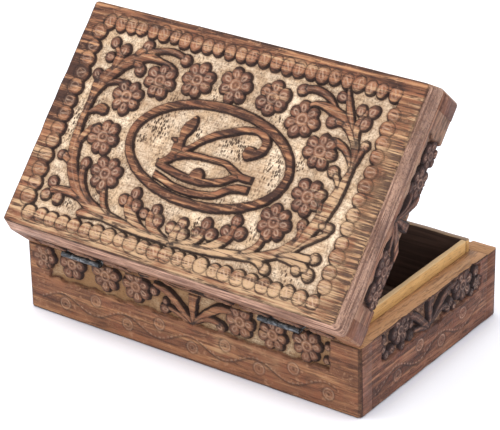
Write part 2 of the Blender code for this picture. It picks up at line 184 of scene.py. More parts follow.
def between(table, row, column, down, across):
    """Values of a table between four of its cells."""
    top = table[row, column] * (1 - across) + table[row, column + 1] * across
    low = table[row + 1, column] * (1 - across) + table[row + 1, column + 1] * across
    return top * (1 - down) + low * down


def curve_points(points, steps=6):
    """Points of a smooth curve through given points; any further values ride along."""
    points = np.array(points, float)
    padded = np.vstack([2 * points[0] - points[1], points, 2 * points[-1] - points[-2]])
    out = []
    for index in range(1, len(padded) - 2):
        a, b, c, d = padded[index - 1:index + 3]
        for share in np.arange(steps) / steps:
            out.append(0.5 * (2 * b + (c - a) * share + (2 * a - 5 * b + 4 * c - d) * share ** 2
                              + (3 * b - a - 3 * c + d) * share ** 3))
    out.append(points[-1])
    return np.array(out)


class Relief:
    """Maps of one carved face: the distance to the raised shapes, the cut lines and the stains."""

    def __init__(self, face, design=None, rounded="left right top bottom"):
        self.face = face
        self.across = np.arange(-OVERSHOOT, face.width + OVERSHOOT + STEP, STEP)
        self.down = np.arange(-OVERSHOOT, face.height + OVERSHOOT + STEP, STEP)
        u, v = np.meshgrid(self.across, self.down)
        self.edge, self.joint, self.first, self.second, self.frame = (
            np.full(u.shape, FAR) for _ in range(5))
        for title in MAPS:
            setattr(self, title, np.zeros(u.shape))
        gaps = {"left": u, "right": face.width - u, "top": v, "bottom": face.height - v}
        for side, gap in gaps.items():
            if side in rounded.split():
                self.edge = np.minimum(self.edge, gap)
            else:
                self.joint = np.minimum(self.joint, gap)
        wide, high = design or (face.width, face.height)
        self.u = u * wide / face.width
        self.v = v * high / face.height

    def near(self, low_u, low_v, high_u, high_v, pad=3.0):
        """The part of the grid round a shape."""
        columns = np.flatnonzero((self.u[0] > low_u - pad) & (self.u[0] < high_u + pad))
        rows = np.flatnonzero((self.v[:, 0] > low_v - pad) & (self.v[:, 0] < high_v + pad))
        if not len(columns) or not len(rows):
            return (slice(0, 0), slice(0, 0))
        return (slice(rows[0], rows[-1] + 1), slice(columns[0], columns[-1] + 1))

    def around(self, u, v, reach):
        return self.near(u - reach, v - reach, u + reach, v + reach)

    def add(self, where, distance, creased=True):
        """Raise a shape. Where it overlaps another, a crease parts them."""
        first = self.first[where]
        if creased:
            self.second[where] = np.minimum(self.second[where], np.maximum(first, distance))
        self.first[where] = np.minimum(first, distance)

    def mark(self, title, where, values):
        """Bring one of the maps up to these values."""
        layer = getattr(self, title)
        layer[where] = np.maximum(layer[where], values)

    def line(self, where, distance, width, depth, light=0.0, dark=0.0):
        """Cut a line along distance = 0."""
        strength = np.exp(-(distance / width) ** 2)
        for title, amount in (("cuts", depth), ("light", light), ("dark", dark)):
            self.mark(title, where, strength * amount)

    def gap(self, where, u, v):
        return np.hypot(self.u[where] - u, self.v[where] - v)

    def oval(self, where, u, v, long, short, turn=0.0):
        """Distance to an oval whose long axis is turned by turn radians."""
        du = self.u[where] - u
        dv = self.v[where] - v
        x = (du * math.cos(turn) + dv * math.sin(turn)) / long
        y = (-du * math.sin(turn) + dv * math.cos(turn)) / short
        reach = np.hypot(x, y)
        slope = np.hypot(x / long, y / short) + 1e-9
        return (reach - 1.0) * reach / slope

    def surround(self, left, top, right, bottom, wave=0.0):
        """Distance to all that lies outside a rectangle, whose edge is moved out by wave."""
        return -np.maximum(np.abs(self.u - (left + right) / 2) - (right - left) / 2 - wave,
                           np.abs(self.v - (top + bottom) / 2) - (bottom - top) / 2 - wave)

    def stroke_distance(self, where, path):
        """Distance to a stroke: path holds u, v and half width."""
        u = self.u[where]
        v = self.v[where]
        nearest = np.full(u.shape, FAR)
        for (u0, v0, r0), (u1, v1, r1) in zip(path, path[1:]):
            length = max((u1 - u0) ** 2 + (v1 - v0) ** 2, 1e-9)
            share = np.clip(((u - u0) * (u1 - u0) + (v - v0) * (v1 - v0)) / length, 0.0, 1.0)
            gap = np.hypot(u - u0 - share * (u1 - u0), v - v0 - share * (v1 - v0))
            nearest = np.minimum(nearest, gap - (r0 + share * (r1 - r0)))
        return nearest

    def stroke(self, points, clip=None, rib=False):
        """Raise a smooth stroke through (u, v, half width) points; clip cuts its ends off square."""
        path = curve_points(points)
        where = self.near(*path[:, :2].min(0), *path[:, :2].max(0), 5.0)
        distance = self.stroke_distance(where, path)
        if clip:
            distance = np.maximum(distance, np.maximum(clip[0] - self.u[where], self.u[where] - clip[1]))
        self.add(where, distance)
        if rib:
            middle = self.stroke_distance(where, path * (1.0, 1.0, 0.0))
            self.line(where, np.where(distance < -0.6, middle, FAR), *RIB_CUT)

    def ring(self, u, v, radius, width, depth, light=0.0, dark=0.0):
        where = self.around(u, v, radius)
        self.line(where, self.gap(where, u, v) - radius, width, depth, light, dark)

    def petal(self, u, v, long, short, angle):
        """A round petal, dark towards its outer end, with a pale thumbnail cut near its inner end."""
        where = self.around(u, v, long)
        rim = self.oval(where, u, v, long, short, angle)
        self.add(where, rim)
        out_u = math.cos(angle)
        out_v = math.sin(angle)
        outward = ((self.u[where] - u) * out_u + (self.v[where] - v) * out_v) / long
        inside = smooth(0.3, -0.4, rim)
        # scorch and painted shade darken the petal towards its outer end
        self.mark("dark", where, inside * smooth(0.30, 0.90, outward) * 0.95)
        self.mark("cool", where, inside)
        nail = self.oval(where, u - out_u * long * 0.22, v - out_v * long * 0.22, long * 0.50, short * 0.30,
                         angle)
        self.line(where, nail, *NAIL_CUT)

    def bud(self, u, v, radius, stem_u, stem_v):
        """A single petal at the end of a stem that starts at (stem_u, stem_v)."""
        self.petal(u, v, radius * 1.04, radius * 0.96, math.atan2(v - stem_v, u - stem_u))

    def flower(self, u, v, radius, petals, turn):
        reach = radius * PETAL_REACH
        long = radius * PETAL_LONG
        short = radius * PETAL_SHORT * 7.0 / petals
        for number in range(petals):
            angle = turn + math.tau * number / petals + 0.07 * math.sin(number * 2.9 + u)
            wobble = 1.0 + 0.05 * math.sin(number * 2.3 + u)
            self.petal(u + math.cos(angle) * reach * wobble, v + math.sin(angle) * reach * wobble,
                       long * wobble, short * wobble, angle)
        where = self.around(u, v, 4)
        gap = self.gap(where, u, v)
        self.add(where, gap - radius * FLOWER_EYE, creased=False)
        self.mark("cool", where, smooth(radius * 0.5, radius * 0.4, gap) * 0.6)
        for share, cut in FLOWER_RINGS:
            self.ring(u, v, radius * share, *cut)

    def patch(self, u, v, reach_u, reach_v, amount, title="tone"):
        """A soft patch in one of the maps; in the tone, negative is darker."""
        layer = getattr(self, title)
        layer += amount * np.exp(-((self.u - u) / reach_u) ** 2 - ((self.v - v) / reach_v) ** 2)

    def noise(self, cell, seed):
        """Smooth random values between -1 and 1, with features about cell millimetres across."""
        wide = int(self.u.max() / cell) + 4
        high = int(self.v.max() / cell) + 4
        table = np.random.default_rng(seed).uniform(-1.0, 1.0, (high, wide))
        x = (self.u + OVERSHOOT * 2) / cell
        y = (self.v + OVERSHOOT * 2) / cell
        column = np.clip(x.astype(int), 0, wide - 2)
        row = np.clip(y.astype(int), 0, high - 2)
        return between(table, row, column, smooth(0.0, 1.0, y - row), smooth(0.0, 1.0, x - column))

    def finish(self, depth, round_edge, seed):
        """Turn the drawing into a depth map and the stain maps."""
        wander = self.noise(2.6, seed) * 0.16 + self.noise(1.3, seed + 1) * 0.08
        first = self.first + wander
        drop = smooth(EDGE_START, EDGE_START + EDGE_WIDTH, first)
        ground = depth * (1.0 + 0.10 * self.noise(7.0, seed + 2) + 0.05 * self.noise(1.6, seed + 3))
        inner = np.minimum(first, 0.0)
        dome = 0.16 * np.exp(inner / 0.45) + 0.40 * self.cool * np.exp(inner / 0.8)
        parted = np.exp(-((self.second - self.first) / CREASE_WIDTH) ** 2)
        self.crease = parted * smooth(0.2, -0.5, self.first)
        raised = (SKIN + dome + CREASE_DEPTH * self.crease + self.cuts
                  + 0.07 * (1 + self.noise(4.0, seed + 4)))
        self.depth = raised * (1 - drop) + np.maximum(ground, raised) * drop
        self.depth = SKIN + (self.depth - SKIN) * smooth(-0.5, 3.0, self.joint)
        near_edge = np.clip(round_edge * (1.0 + 0.35 * self.noise(9.0, seed + 5)) - self.edge, 0.0, None)
        self.depth = self.depth + near_edge ** 2 / (2.0 * round_edge) * 1.1
        self.reach = np.clip(first, -STORED_REACH, STORED_REACH)
        self.soft = smooth(1.2, 0.0, np.abs(self.frame - self.first))
        self.light = np.clip(self.light * (0.8 + 0.4 * self.noise(2.0, seed + 7)), 0.0, 1.0)
        return self

    def sample(self, title, u, v):
        """Values of a map at face coordinates in millimetres."""
        x = np.clip((u + OVERSHOOT) / STEP, 0, len(self.across) - 1.001)
        y = np.clip((v + OVERSHOOT) / STEP, 0, len(self.down) - 1.001)
        column = x.astype(int)
        row = y.astype(int)
        return between(getattr(self, title), row, column, y - row, x - column)


# ---------------------------------------------------------------- the lid's carving
LID_DESIGN = (198.6, 122.6)
LID_GROUND = (9.6, 8.8, 186.2, 114.6)          # left, top, right and bottom of the sunk ground

# centre, radius, petals and turn
LID_FLOWERS = [
    (55.8, 32.1, 9.5, 7, 0.16), (76.3, 26.8, 9.5, 7, -0.45), (98.4, 24.5, 9.7, 7, -0.03),
    (120.9, 25.8, 9.3, 6, -0.52), (140.9, 32.4, 9.6, 7, 0.07), (156.7, 44.9, 9.4, 7, 0.13),
    (159.9, 67.9, 9.5, 7, -0.40), (148.1, 84.4, 9.6, 7, 0), (40.8, 44.5, 9.4, 7, -0.37),
    (37.1, 67.5, 9.5, 7, 0.09), (47.2, 85.1, 9.6, 7, -0.38),
]

# centre, radius and the point that its stem comes from
LID_BUDS = [
    (21.4, 18.7, 2.9, 25, 25), (28.7, 21.4, 3.4, 27, 28), (21.6, 26.6, 2.8, 27, 27),
    (41, 16.5, 3.3, 39, 21), (65.4, 18.6, 3.2, 58, 17), (41.9, 29.6, 3.1, 37, 26),
    (18.3, 36.7, 2.8, 21, 41), (17.7, 81.9, 2.6, 23, 82), (33.4, 82.5, 3, 34, 90),
    (19.3, 96.4, 3.1, 26, 99), (18.2, 103.7, 3.1, 26, 99), (25.7, 104.1, 3.2, 27, 99),
    (68.8, 90, 3, 69, 99), (63.2, 94.8, 3, 69, 100), (71.3, 96.3, 3.5, 70, 103), (83.5, 95, 3, 83, 104),
    (77.6, 98.6, 2.8, 83, 104), (86.3, 100.3, 3.5, 84, 106), (100.7, 97.5, 3, 99, 107),
    (95.1, 101.2, 3, 99, 107), (102.7, 103, 3.4, 99, 107), (113.5, 94.4, 3.2, 112, 104),
    (110.1, 99.9, 2.9, 113, 105), (117.9, 98.8, 3.3, 112, 104), (128.7, 88.7, 3.1, 128, 98),
    (125, 94.9, 3, 130, 99), (132.9, 94.1, 3.4, 127, 99), (162.8, 81.6, 2.9, 163, 90),
    (176.3, 79.7, 3, 170, 82), (152.6, 106.9, 3, 146, 104), (175.8, 95.5, 3, 166, 97),
    (168.9, 102.5, 3, 168, 97), (175.7, 103.7, 3.3, 168, 98), (156.6, 29.4, 3.2, 164, 28),
    (156.8, 16.4, 2.9, 161, 18), (178.3, 36.9, 2.6, 177, 44), (167.4, 52.8, 3, 173, 58),
    (134.8, 18, 3.1, 141, 16), (169.4, 20.8, 3, 171, 30), (175.9, 19.8, 3.2, 171, 30),
    (173.6, 26.4, 3.6, 171, 33),
]

# points along each stem: u, v and half width
LID_VINES = [
    # the left vine, from its root up to the top left corner
    [(100, 108.6, 1.5), (75, 107.6, 2.3), (60, 106, 2.6), (50, 104, 2.8), (42, 101, 3), (35, 96.5, 3.1),
     (30, 91, 3), (26.3, 85.5, 3), (24.2, 80.2, 3.1), (22.9, 74.7, 3.1), (21.5, 69, 2.3), (20.9, 62, 1.9),
     (21, 50, 1.9), (21.5, 44.5, 3), (22.8, 40, 4), (26.2, 35, 3.5), (30.2, 30.2, 3.1), (34.2, 26.4, 3.1),
     (39, 23, 3.3), (44, 21.6, 2.6), (51, 22.3, 1.4), (57, 22.9, 1), (61, 25, 1.2)],
    [(37.5, 22.5, 2.8), (39.4, 19.6, 2.4), (41, 17.5, 1.8)],
    [(40, 22, 1.6), (44, 19.2, 1.5), (49, 17.2, 1.5), (54, 16, 1.5), (60, 16.3, 1.4), (65, 18.2, 1.5)],
    [(24.4, 37, 1.6), (27.2, 31.5, 2.6), (27.8, 27, 2.9), (26.8, 23.6, 2), (24.4, 21.8, 1.4)],
    [(36, 25, 2.4), (39.5, 26.4, 2.4), (42, 29, 1.9)],
    [(22.2, 41, 2.6), (19.4, 38.6, 1.8)],
    [(23.6, 42.3, 0.3), (27.4, 40, 0.9), (31.6, 38, 1.3), (37, 37.8, 1.4)],
    [(22.4, 57.4, 0.3), (26, 55, 1.7), (29.2, 53.7, 2.7), (30.6, 54, 2.6)],
    [(22.9, 75, 1.6), (25.6, 69.8, 2), (28.4, 65, 1.8), (31, 62.4, 1.2)],
    [(23.5, 83, 2.4), (20.4, 82.2, 2.2), (17.9, 81.9, 1.8)],
    [(50, 104, 1.4), (42, 99.4, 1.9), (37.2, 94.6, 2), (34.3, 89.5, 1.9), (33.4, 84.5, 1.6)],
    [(63, 106.4, 1), (56.4, 103.6, 1.6), (52.2, 98.6, 1.7), (49.6, 92.5, 1.6)],
    [(88, 107.9, 0.8), (78.5, 106, 2), (72, 102.2, 3), (68.2, 98, 2.8), (67, 93.5, 1.6)],
    [(98, 108.4, 0.8), (90, 106.6, 1.8), (84.6, 103.4, 2.8), (82.2, 99.5, 2.6), (82, 96.5, 1.5)],
    [(97.8, 109, 1.6), (98.4, 105.8, 2.6), (98.8, 102.6, 2.8), (99.6, 99.4, 1.6)],
    [(46, 103, 1.6), (39, 100.3, 1.8), (32, 99.3, 1.9), (26, 99.3, 1.9), (21.6, 100.2, 2.2)],
    [(56, 106.2, 1.9), (48, 106.8, 2), (42, 107.6, 2.2)],
    # the right vine
    [(98, 108.6, 1.4), (115, 107.3, 2.1), (131, 105.3, 2.2), (145, 102.8, 2.3), (154, 99.2, 2.5),
     (160.5, 94, 2.6), (165.8, 87.5, 2.8), (169.4, 80.2, 3.1), (171.4, 74, 3.6), (173.2, 67, 3.3),
     (174.4, 61, 2.8), (175.4, 55, 1.9), (176, 48.5, 1.4), (175, 42.5, 1.8), (172.2, 36.5, 2.1),
     (168, 31.8, 2.3), (162.4, 27.4, 2.6), (156.5, 24.6, 2.6), (150, 23, 1.9), (145, 23, 1.2),
     (142, 24.6, 1.2)],
    [(99, 108.4, 0.8), (105, 107.2, 1.6), (109.4, 104.6, 2.4), (112.2, 101.4, 2.6), (113.4, 97.5, 1.6)],
    [(108, 107.8, 0.8), (117, 105.7, 1.8), (123, 102.5, 2.4), (126.6, 98.5, 2.6), (128.4, 94.5, 2.2),
     (128.7, 91, 1.5)],
    [(134, 105, 1.2), (141, 101.3, 1.8), (144.6, 97, 1.8), (145.6, 92.5, 1.6)],
    [(140, 103.8, 1.4), (146.5, 104.4, 1.7), (151.4, 106.4, 1.9)],
    [(156, 98.4, 1.8), (163, 97.6, 2.3), (169.5, 97, 2.2), (175, 95.9, 1.8)],
    [(158, 99, 1.6), (165, 99.4, 2.2), (171, 100.6, 2.4), (174.6, 102.6, 1.8)],
    [(157.5, 97, 1.6), (161.8, 92.6, 2), (163.6, 88, 1.8), (163.2, 84, 1.6)],
    [(163.4, 95.4, 0.7), (167.6, 90.2, 1.2), (172.6, 86, 1.4), (177, 82.6, 1)],
    [(171.5, 79, 2.2), (176, 79.8, 1.9)],
    [(171.5, 77, 1.4), (168.6, 71.6, 2), (165.4, 69, 1.9)],
    [(176, 52, 0.8), (173.6, 45.8, 1.2), (169.2, 41.2, 1.6), (163.2, 38.7, 1.8), (158.6, 38.6, 1.5)],
    [(174.8, 66, 1.4), (174, 61.5, 1.5), (171.6, 56.6, 1.5), (168.4, 53.6, 1.7)],
    [(176.3, 49, 1), (177.2, 43, 1.2), (178.2, 38.4, 1.3)],
    [(164, 28.4, 2.2), (160, 28.6, 2), (157.4, 29.2, 1.8)],
    [(168.6, 31, 1.7), (165, 24.6, 1.9), (161.6, 18.6, 1.6), (158.9, 12.6, 0.9)],
    [(174.6, 41.4, 1.4), (172.2, 35.6, 2), (170.4, 30.4, 2.4), (171.6, 24, 1.8), (172.6, 21, 1.4)],
    [(155, 21.4, 0.8), (150.4, 18.4, 1.5), (145, 16.4, 1.7), (140, 16.3, 1.7), (136, 17.4, 1.9)],
]

OVAL = (98.9, 62, 46.6, 25.2, 2.1)           # centre, half axes and half width of the ring

# points of each stroke of the eye, and the ends between which a stroke is cut off square
EYE_STROKES = [
    ([(84, 44.8, 0.3), (84.4, 46.4, 1.6), (83.9, 48.4, 2.5), (82.4, 51.4, 3.1), (81.4, 54.4, 2.4),
      (81.5, 56.8, 1.8), (80.7, 59.4, 2.5), (80.8, 62.2, 3), (81.2, 65.2, 3), (78.2, 69, 2),
      (74, 71.6, 1.4)], (72.6, 130)),
    ([(75.3, 58.3, 0.2), (77.4, 58.5, 0.9), (80, 59.6, 1.9)], None),
    ([(85, 62.4, 1.6), (88.3, 60, 1.3), (93.2, 55.2, 1.6), (98.2, 51.5, 1.7), (103.8, 48.6, 1.7),
      (109.3, 46.2, 1.7), (114.9, 44.4, 1.6), (120.3, 43.8, 1.6), (125.3, 45.5, 2), (127.4, 49, 2.2),
      (126.6, 52.6, 2.1), (123.7, 54.8, 2.2), (120.4, 55.4, 3.5)], None),
    ([(81.5, 66, 2.4), (86.5, 64.6, 1.8), (93.7, 63.6, 1.4), (100.9, 63.3, 1.3), (109.8, 63.4, 1.4),
      (115.3, 65.4, 1.7), (120.9, 67.7, 1.6), (129, 67.9, 1.6)], (70, 127.7)),
    ([(70.6, 71.4, 1.5), (76, 72.8, 1.6), (85.3, 74.8, 1.8), (93.1, 75.7, 1.6), (99.5, 75.7, 1.7),
      (104.3, 74.7, 1.7), (110.9, 72.9, 1.8), (115.3, 70.2, 1.8), (119, 68.2, 1.5)], (72.6, 130)),
    ([(71, 77.4, 1.8), (73.9, 78.1, 1.8), (78.7, 79.1, 1.7), (85.3, 81, 1.65), (93.1, 82, 1.6),
      (100.9, 81.8, 1.6), (109.5, 80.2, 1.7), (115.1, 76.9, 1.75), (120.3, 74, 1.8), (130, 73, 1.8)],
      (73.7, 127.7)),
]
EYE_PUPIL = (97.5, 73.2, 3.9)

# dark chisel marks on the ground: centre and reach
LID_MARKS = [
    (66, 54, 6, 8), (90, 52, 6, 3), (112, 53, 12, 4), (112, 57, 6, 3), (136, 62, 5, 10), (57, 62, 3, 8),
    (24, 56, 3, 6), (45, 100, 3, 4), (30, 105, 5, 3), (107, 96, 3, 5), (138, 92, 3, 4), (168, 106, 6, 3),
    (150, 55, 4, 6), (88, 33, 3, 5), (130, 36, 5, 3), (70, 41, 5, 3), (120, 84, 8, 3), (16, 65, 2, 10),
]

# the four rows of coins: start, end, pitch, half axes, and whether the coins stand across the row
COIN_ROWS = [((13.5, 8.6), (183.0, 8.6), 6.9, 4.3, 3.5, True),
             ((13.5, 114.8), (183.5, 114.8), 7.0, 4.1, 3.9, True),
             ((9.2, 15.5), (9.2, 107.5), 7.6, 4.3, 4.2, False),
             ((186.4, 19.0), (186.4, 106.5), 7.2, 4.2, 3.9, False)]

# where dark streaks run in from the lid's left edge, and how dark each is
SCORCHED_STREAKS = [(18, -0.6), (25, -1.5), (31, -0.8), (37, -1.6), (46, -0.9), (54, -0.8), (61, -1.7),
                    (66, -1.2)]

# stains: centre, reach and amount, where negative is darker
LID_STAINS = [
    (2, 42, 9, 30, -0.95), *((3, v, 9, 1.5, burn) for v, burn in SCORCHED_STREAKS),
    # the other edges and the left vine
    (120, 1, 60, 2.5, -1.0), (170, 3, 16, 3, -0.9), (40, 2, 24, 2, -0.8), (20, 52, 4, 22, -0.8),
    (195, 58, 4, 12, -0.9), (191, 84, 3, 6, -1.1), (190, 66, 3, 5, -1.1),
    # pale places along the foot, at both sides and in the eye
    (50, 105, 26, 7, 0.8), (105, 107, 40, 5, 0.9), (7, 96, 13, 24, 0.75), (172, 62, 12, 46, 0.95),
    (190, 78, 10, 22, 0.70), (150, 117, 60, 9, 0.9), (60, 117, 40, 7, 0.6), (140, 102, 50, 10, 0.6),
    (80, 65, 6, 4, 0.6),
    # the eye's dark strokes
    (105, 48, 20, 5, -0.85), (124, 54, 9, 7, -0.95), (84, 49, 6, 8, -0.8), (102, 71, 30, 11, -0.6),
]


def coin_row(relief, start, end, pitch, long, short, across):
    """A row of overlapping carved coins between two points of the lid's border."""
    start = np.array(start, float)
    end = np.array(end, float)
    count = int(round(np.linalg.norm(end - start) / pitch)) + 1
    places = [start + (end - start) * index / (count - 1) for index in range(count)]
    sizes = 1.0 + 0.09 * random_source.uniform(-1, 1, count)
    shifts = random_source.uniform(-0.45, 0.45, (count, 2))
    turns = random_source.uniform(-0.30, 0.30, count) + (math.pi / 2 + 0.12 if across else 0.35)
    coins = [(*(place + shift), long * size, short * size, turn)
             for place, shift, size, turn in zip(places, shifts, sizes, turns)]
    for coin, following in zip(coins, coins[1:] + [None]):
        u, v, _, _, turn = coin
        where = relief.around(u, v, long)
        rim = relief.oval(where, *coin)
        relief.add(where, rim, creased=False)
        # painted shade in a band just inside each coin's rim
        relief.mark("dark", where, smooth(0.3, -0.3, rim) * smooth(-1.3, -0.3, rim) * 0.15)
        if following:
            rim = np.where(relief.oval(where, *following) < -0.3, FAR, rim)
        relief.line(where, rim, *COIN_CUT)
        relief.line(where, relief.oval(where, u, v, long * 0.60, short * 0.52, turn), *COIN_RING)
        du = long * 0.42 * math.cos(turn - 0.5)
        dv = long * 0.42 * math.sin(turn - 0.5)
        slash = relief.stroke_distance(where, [(u - du, v - dv, 0.0), (u + du, v + dv, 0.0)])
        relief.line(where, slash, *COIN_SLASH)


def lid_relief(face):
    relief = Relief(face, LID_DESIGN)
    border = relief.surround(*LID_GROUND)
    relief.add(EVERYWHERE, border, creased=False)
    for row in COIN_ROWS:
        coin_row(relief, *row)
    for points in LID_VINES:
        relief.stroke(points, rib=True)
    for flower in LID_FLOWERS:
        relief.flower(*flower)
    for bud in LID_BUDS:
        relief.bud(*bud)

    u, v, long, short, half = OVAL
    x = relief.u - u
    y = relief.v - v
    level = (x / long) ** 2 + (y / short) ** 2 - 1.0
    away = np.clip(level / (2.0 * np.hypot(x / long ** 2, y / short ** 2) + 1e-9), -FAR, FAR)
    relief.add(EVERYWHERE, np.abs(away) - half, creased=False)
    relief.line(EVERYWHERE, away + 1.25, *OVAL_GROOVE)
    raised = smooth(0.3, -0.4, relief.first) * smooth(-1.0, 1.0, border)
    relief.tone -= 0.22 * raised * smooth(1.5, 3.0, border)
    relief.tone -= 0.35 * smooth(half + 0.8, half, np.abs(away))
    for points, clip in EYE_STROKES:
        relief.stroke(points, clip)
    u, v, radius = EYE_PUPIL
    where = relief.around(u, v, radius)
    relief.add(where, relief.gap(where, u, v) - radius, creased=False)

    for mark in LID_MARKS:
        relief.patch(*mark, 1.0, "marks")
    for stain in LID_STAINS:
        relief.patch(*stain)
    relief.tone += 0.25 * relief.noise(16.0, 3) + 0.15 * relief.noise(6.0, 4)
    fringe = relief.u + 2.0 * relief.noise(5.0, 6)
    frayed = 0.35 * smooth(186.0, 190.0, fringe) + 0.65 * smooth(191.0, 196.0, fringe)
    relief.torn += frayed * smooth(10, 34, relief.v)
    relief.mark("dark", EVERYWHERE, 0.80 * smooth(1.15, 0.30, relief.edge + 0.3 * relief.noise(5.0, 5)))
    return relief.finish(TOP_DEPTH, round_edge=0.8, seed=11)


# ---------------------------------------------------------------- the sides' carving
# a spray of leaves: points from its root, half width; and the buds at the leaves' ends
SPRAY_LEAVES = [
    [(-22.5, 1.0, 1.0), (-14, 3.6, 2.0), (-7, 9.3, 2.1), (-0.8, 15.5, 1.6)],
    [(1.4, 0.0, 2.9), (0.6, 6.0, 2.3), (0.8, 12, 1.5), (0.3, 16, 1.2)],
    [(24.5, 2.6, 1.5), (17, 3.3, 2.2), (10.5, 7.2, 2.0), (4.5, 12, 1.5), (0.3, 16, 1.2)],
    [(1.0, 15.5, 1.1), (8, 11.4, 1.5), (14, 10.8, 1.5), (17.3, 12.6, 2.0)],
    [(-0.6, 16.2, 1.0), (-8, 13.2, 1.4), (-13.6, 11.6, 1.2)],
]
SPRAY_BUDS = [(17.6, 13.1, 2.8, 10, 11), (-16.6, 13.0, 2.8, -8, 13)]
SPRAY_ROOT = 16.5


def spray(relief, u, root, flip):
    """Leaves that rise from one point of the band, or hang from it where flip is -1."""
    for points in SPRAY_LEAVES:
        relief.stroke([(u + du, root + flip * (dv - SPRAY_ROOT), half) for du, dv, half in points], rib=True)
    for du, dv, radius, stem_u, stem_v in SPRAY_BUDS:
        relief.bud(u + du, root + flip * (dv - SPRAY_ROOT), radius,
                   u + stem_u, root + flip * (stem_v - SPRAY_ROOT))


def flower_band(relief, design, top, bottom, root, flip, ragged):
    """A sunk band of flowers, buds and sprays, with an edge that is ragged by this many millimetres."""
    flowers, buds, sprays, (left, right) = design
    wave = 0.35 * np.sin(relief.u * 0.55) + 0.25 * np.sin(relief.u * 0.23 + 1.0)
    relief.frame = relief.surround(left, top, right, bottom, wave + ragged * relief.noise(3.2, 91))
    relief.add(EVERYWHERE, relief.frame, creased=False)
    for number, (u, v, radius) in enumerate(flowers):
        relief.flower(u, v, radius, 7 if number % 3 else 6, number * 0.7)
    for u in sprays:
        spray(relief, u, root, flip)
    for u, v, radius in buds:
        relief.bud(u, v, radius, u + 3, root)


def engraved_wave(relief, start, end, phase):
    """A dashed wave with a double circle in each bend, cut lightly into the plain wood."""
    u = relief.u
    height = WAVE_MIDDLE - WAVE_RISE * np.cos(math.tau * (u - phase) / WAVE_LENGTH)
    slope = WAVE_RISE * math.tau / WAVE_LENGTH * np.sin(math.tau * (u - phase) / WAVE_LENGTH)
    distance = (relief.v - height) / np.sqrt(1 + slope ** 2)
    dashes = smooth(-0.2, 0.3, np.sin(math.tau * u / DASH))
    along = smooth(start, start + 1.0, u) * smooth(end, end - 1.0, u)
    relief.line(EVERYWHERE, np.where(along > 0.3, distance - WAVE_OUTLINE_GAP, FAR), *WAVE_OUTLINE)
    relief.line(EVERYWHERE, np.where(along * dashes > 0.3, distance, FAR), *WAVE_CUT)
    for number, crest in enumerate(np.arange(phase, end - 3.0, WAVE_LENGTH / 2)):
        if crest > start + 3.0:
            u = crest + 1.5
            v = WAVE_MIDDLE + WAVE_PLACES[number % 2] + 0.5 * math.sin(crest)
            for radius, cut in WAVE_RINGS:
                relief.ring(u, v, radius, *cut)
            relief.ring(u + 0.2, v + 0.3, 0.0, *WAVE_DOT)


def mottled(relief, seed):
    return 0.35 * relief.noise(20.0, seed) + 0.15 * relief.noise(7.0, seed + 1)


def base_relief(face, design, phase, seed, rounded, band_top):
    """A base wall: a deep flower band, closed or open at the rim, and an engraved wave below it."""
    left, right = design[-1]
    relief = Relief(face, None, rounded)
    closed = band_top > 0
    flower_band(relief, design, band_top, BAND_FOOT, root=BAND_FOOT, flip=1, ragged=1.1 if closed else 0.5)
    engraved_wave(relief, left - 6.0, right + 5.0, phase)
    relief.tone += mottled(relief, seed) + BASE_TONE
    relief.patch(*PALE_PATCH)
    if closed:
        relief.tone -= BAND_BURN * smooth(0.0, 1.5, relief.frame)
    relief.mark("dark", EVERYWHERE, 0.80 * smooth(1.25, 0.40, relief.edge))
    return relief.finish(BAND_DEPTH, round_edge=0.8, seed=seed)


def rail_relief(face, design, seed, rounded):
    """A lid rail: the upper half of the same deep band, open at the joint."""
    relief = Relief(face, None, rounded)
    flower_band(relief, design, RAIL_BAND_TOP, face.height + BAND_OPEN,
                root=RAIL_BAND_TOP, flip=-1, ragged=1.0)
    relief.tone += mottled(relief, seed)
    if face.along[0] == 0:
        relief.tone += 0.35 * smooth(0.5, -0.5, relief.frame) - BAND_BURN * smooth(0.0, 1.5, relief.frame)
    return relief.finish(BAND_DEPTH, round_edge=0.4, seed=seed)


# ---------------------------------------------------------------- carved boards
def envelope(relief, thickness):
    """A closed slab whose outer face is the relief. It runs past the board on all its other sides."""
    face = relief.face
    rows, columns = relief.depth.shape
    u, v = np.meshgrid(relief.across, relief.down)
    flat = (face.corner + MM * (u[..., None] * face.along + v[..., None] * face.down)).reshape(-1, 3)
    front = flat - MM * relief.depth.reshape(-1, 1) * face.normal
    index = np.arange(rows * columns).reshape(rows, columns)
    quads = np.stack([index[:-1, :-1], index[1:, :-1], index[1:, 1:], index[:-1, 1:]], -1).reshape(-1, 4)
    loop = np.concatenate([index[0, :-1], index[:-1, -1], index[-1, :0:-1], index[:0:-1, 0]])
    back = flat[loop] - face.normal * (thickness + MM)
    back_index = rows * columns + np.arange(len(loop))
    sides = np.stack([loop, np.roll(loop, -1), np.roll(back_index, -1), back_index], -1)
    mesh = bpy.data.meshes.new("envelope")
    mesh.from_pydata(np.vstack([front, back]).tolist(), [],
                     quads.tolist() + sides.tolist() + [back_index.tolist()])
    shape = bmesh.new()
    shape.from_mesh(mesh)
    bmesh.ops.recalc_face_normals(shape, faces=shape.faces)
    if shape.calc_volume(signed=True) < 0:
        bmesh.ops.reverse_faces(shape, faces=shape.faces)
    shape.to_mesh(mesh)
    shape.free()
    return mesh


def link(name, data):
    made = bpy.data.objects.new(name, data)
    bpy.context.scene.collection.objects.link(made)
    return made


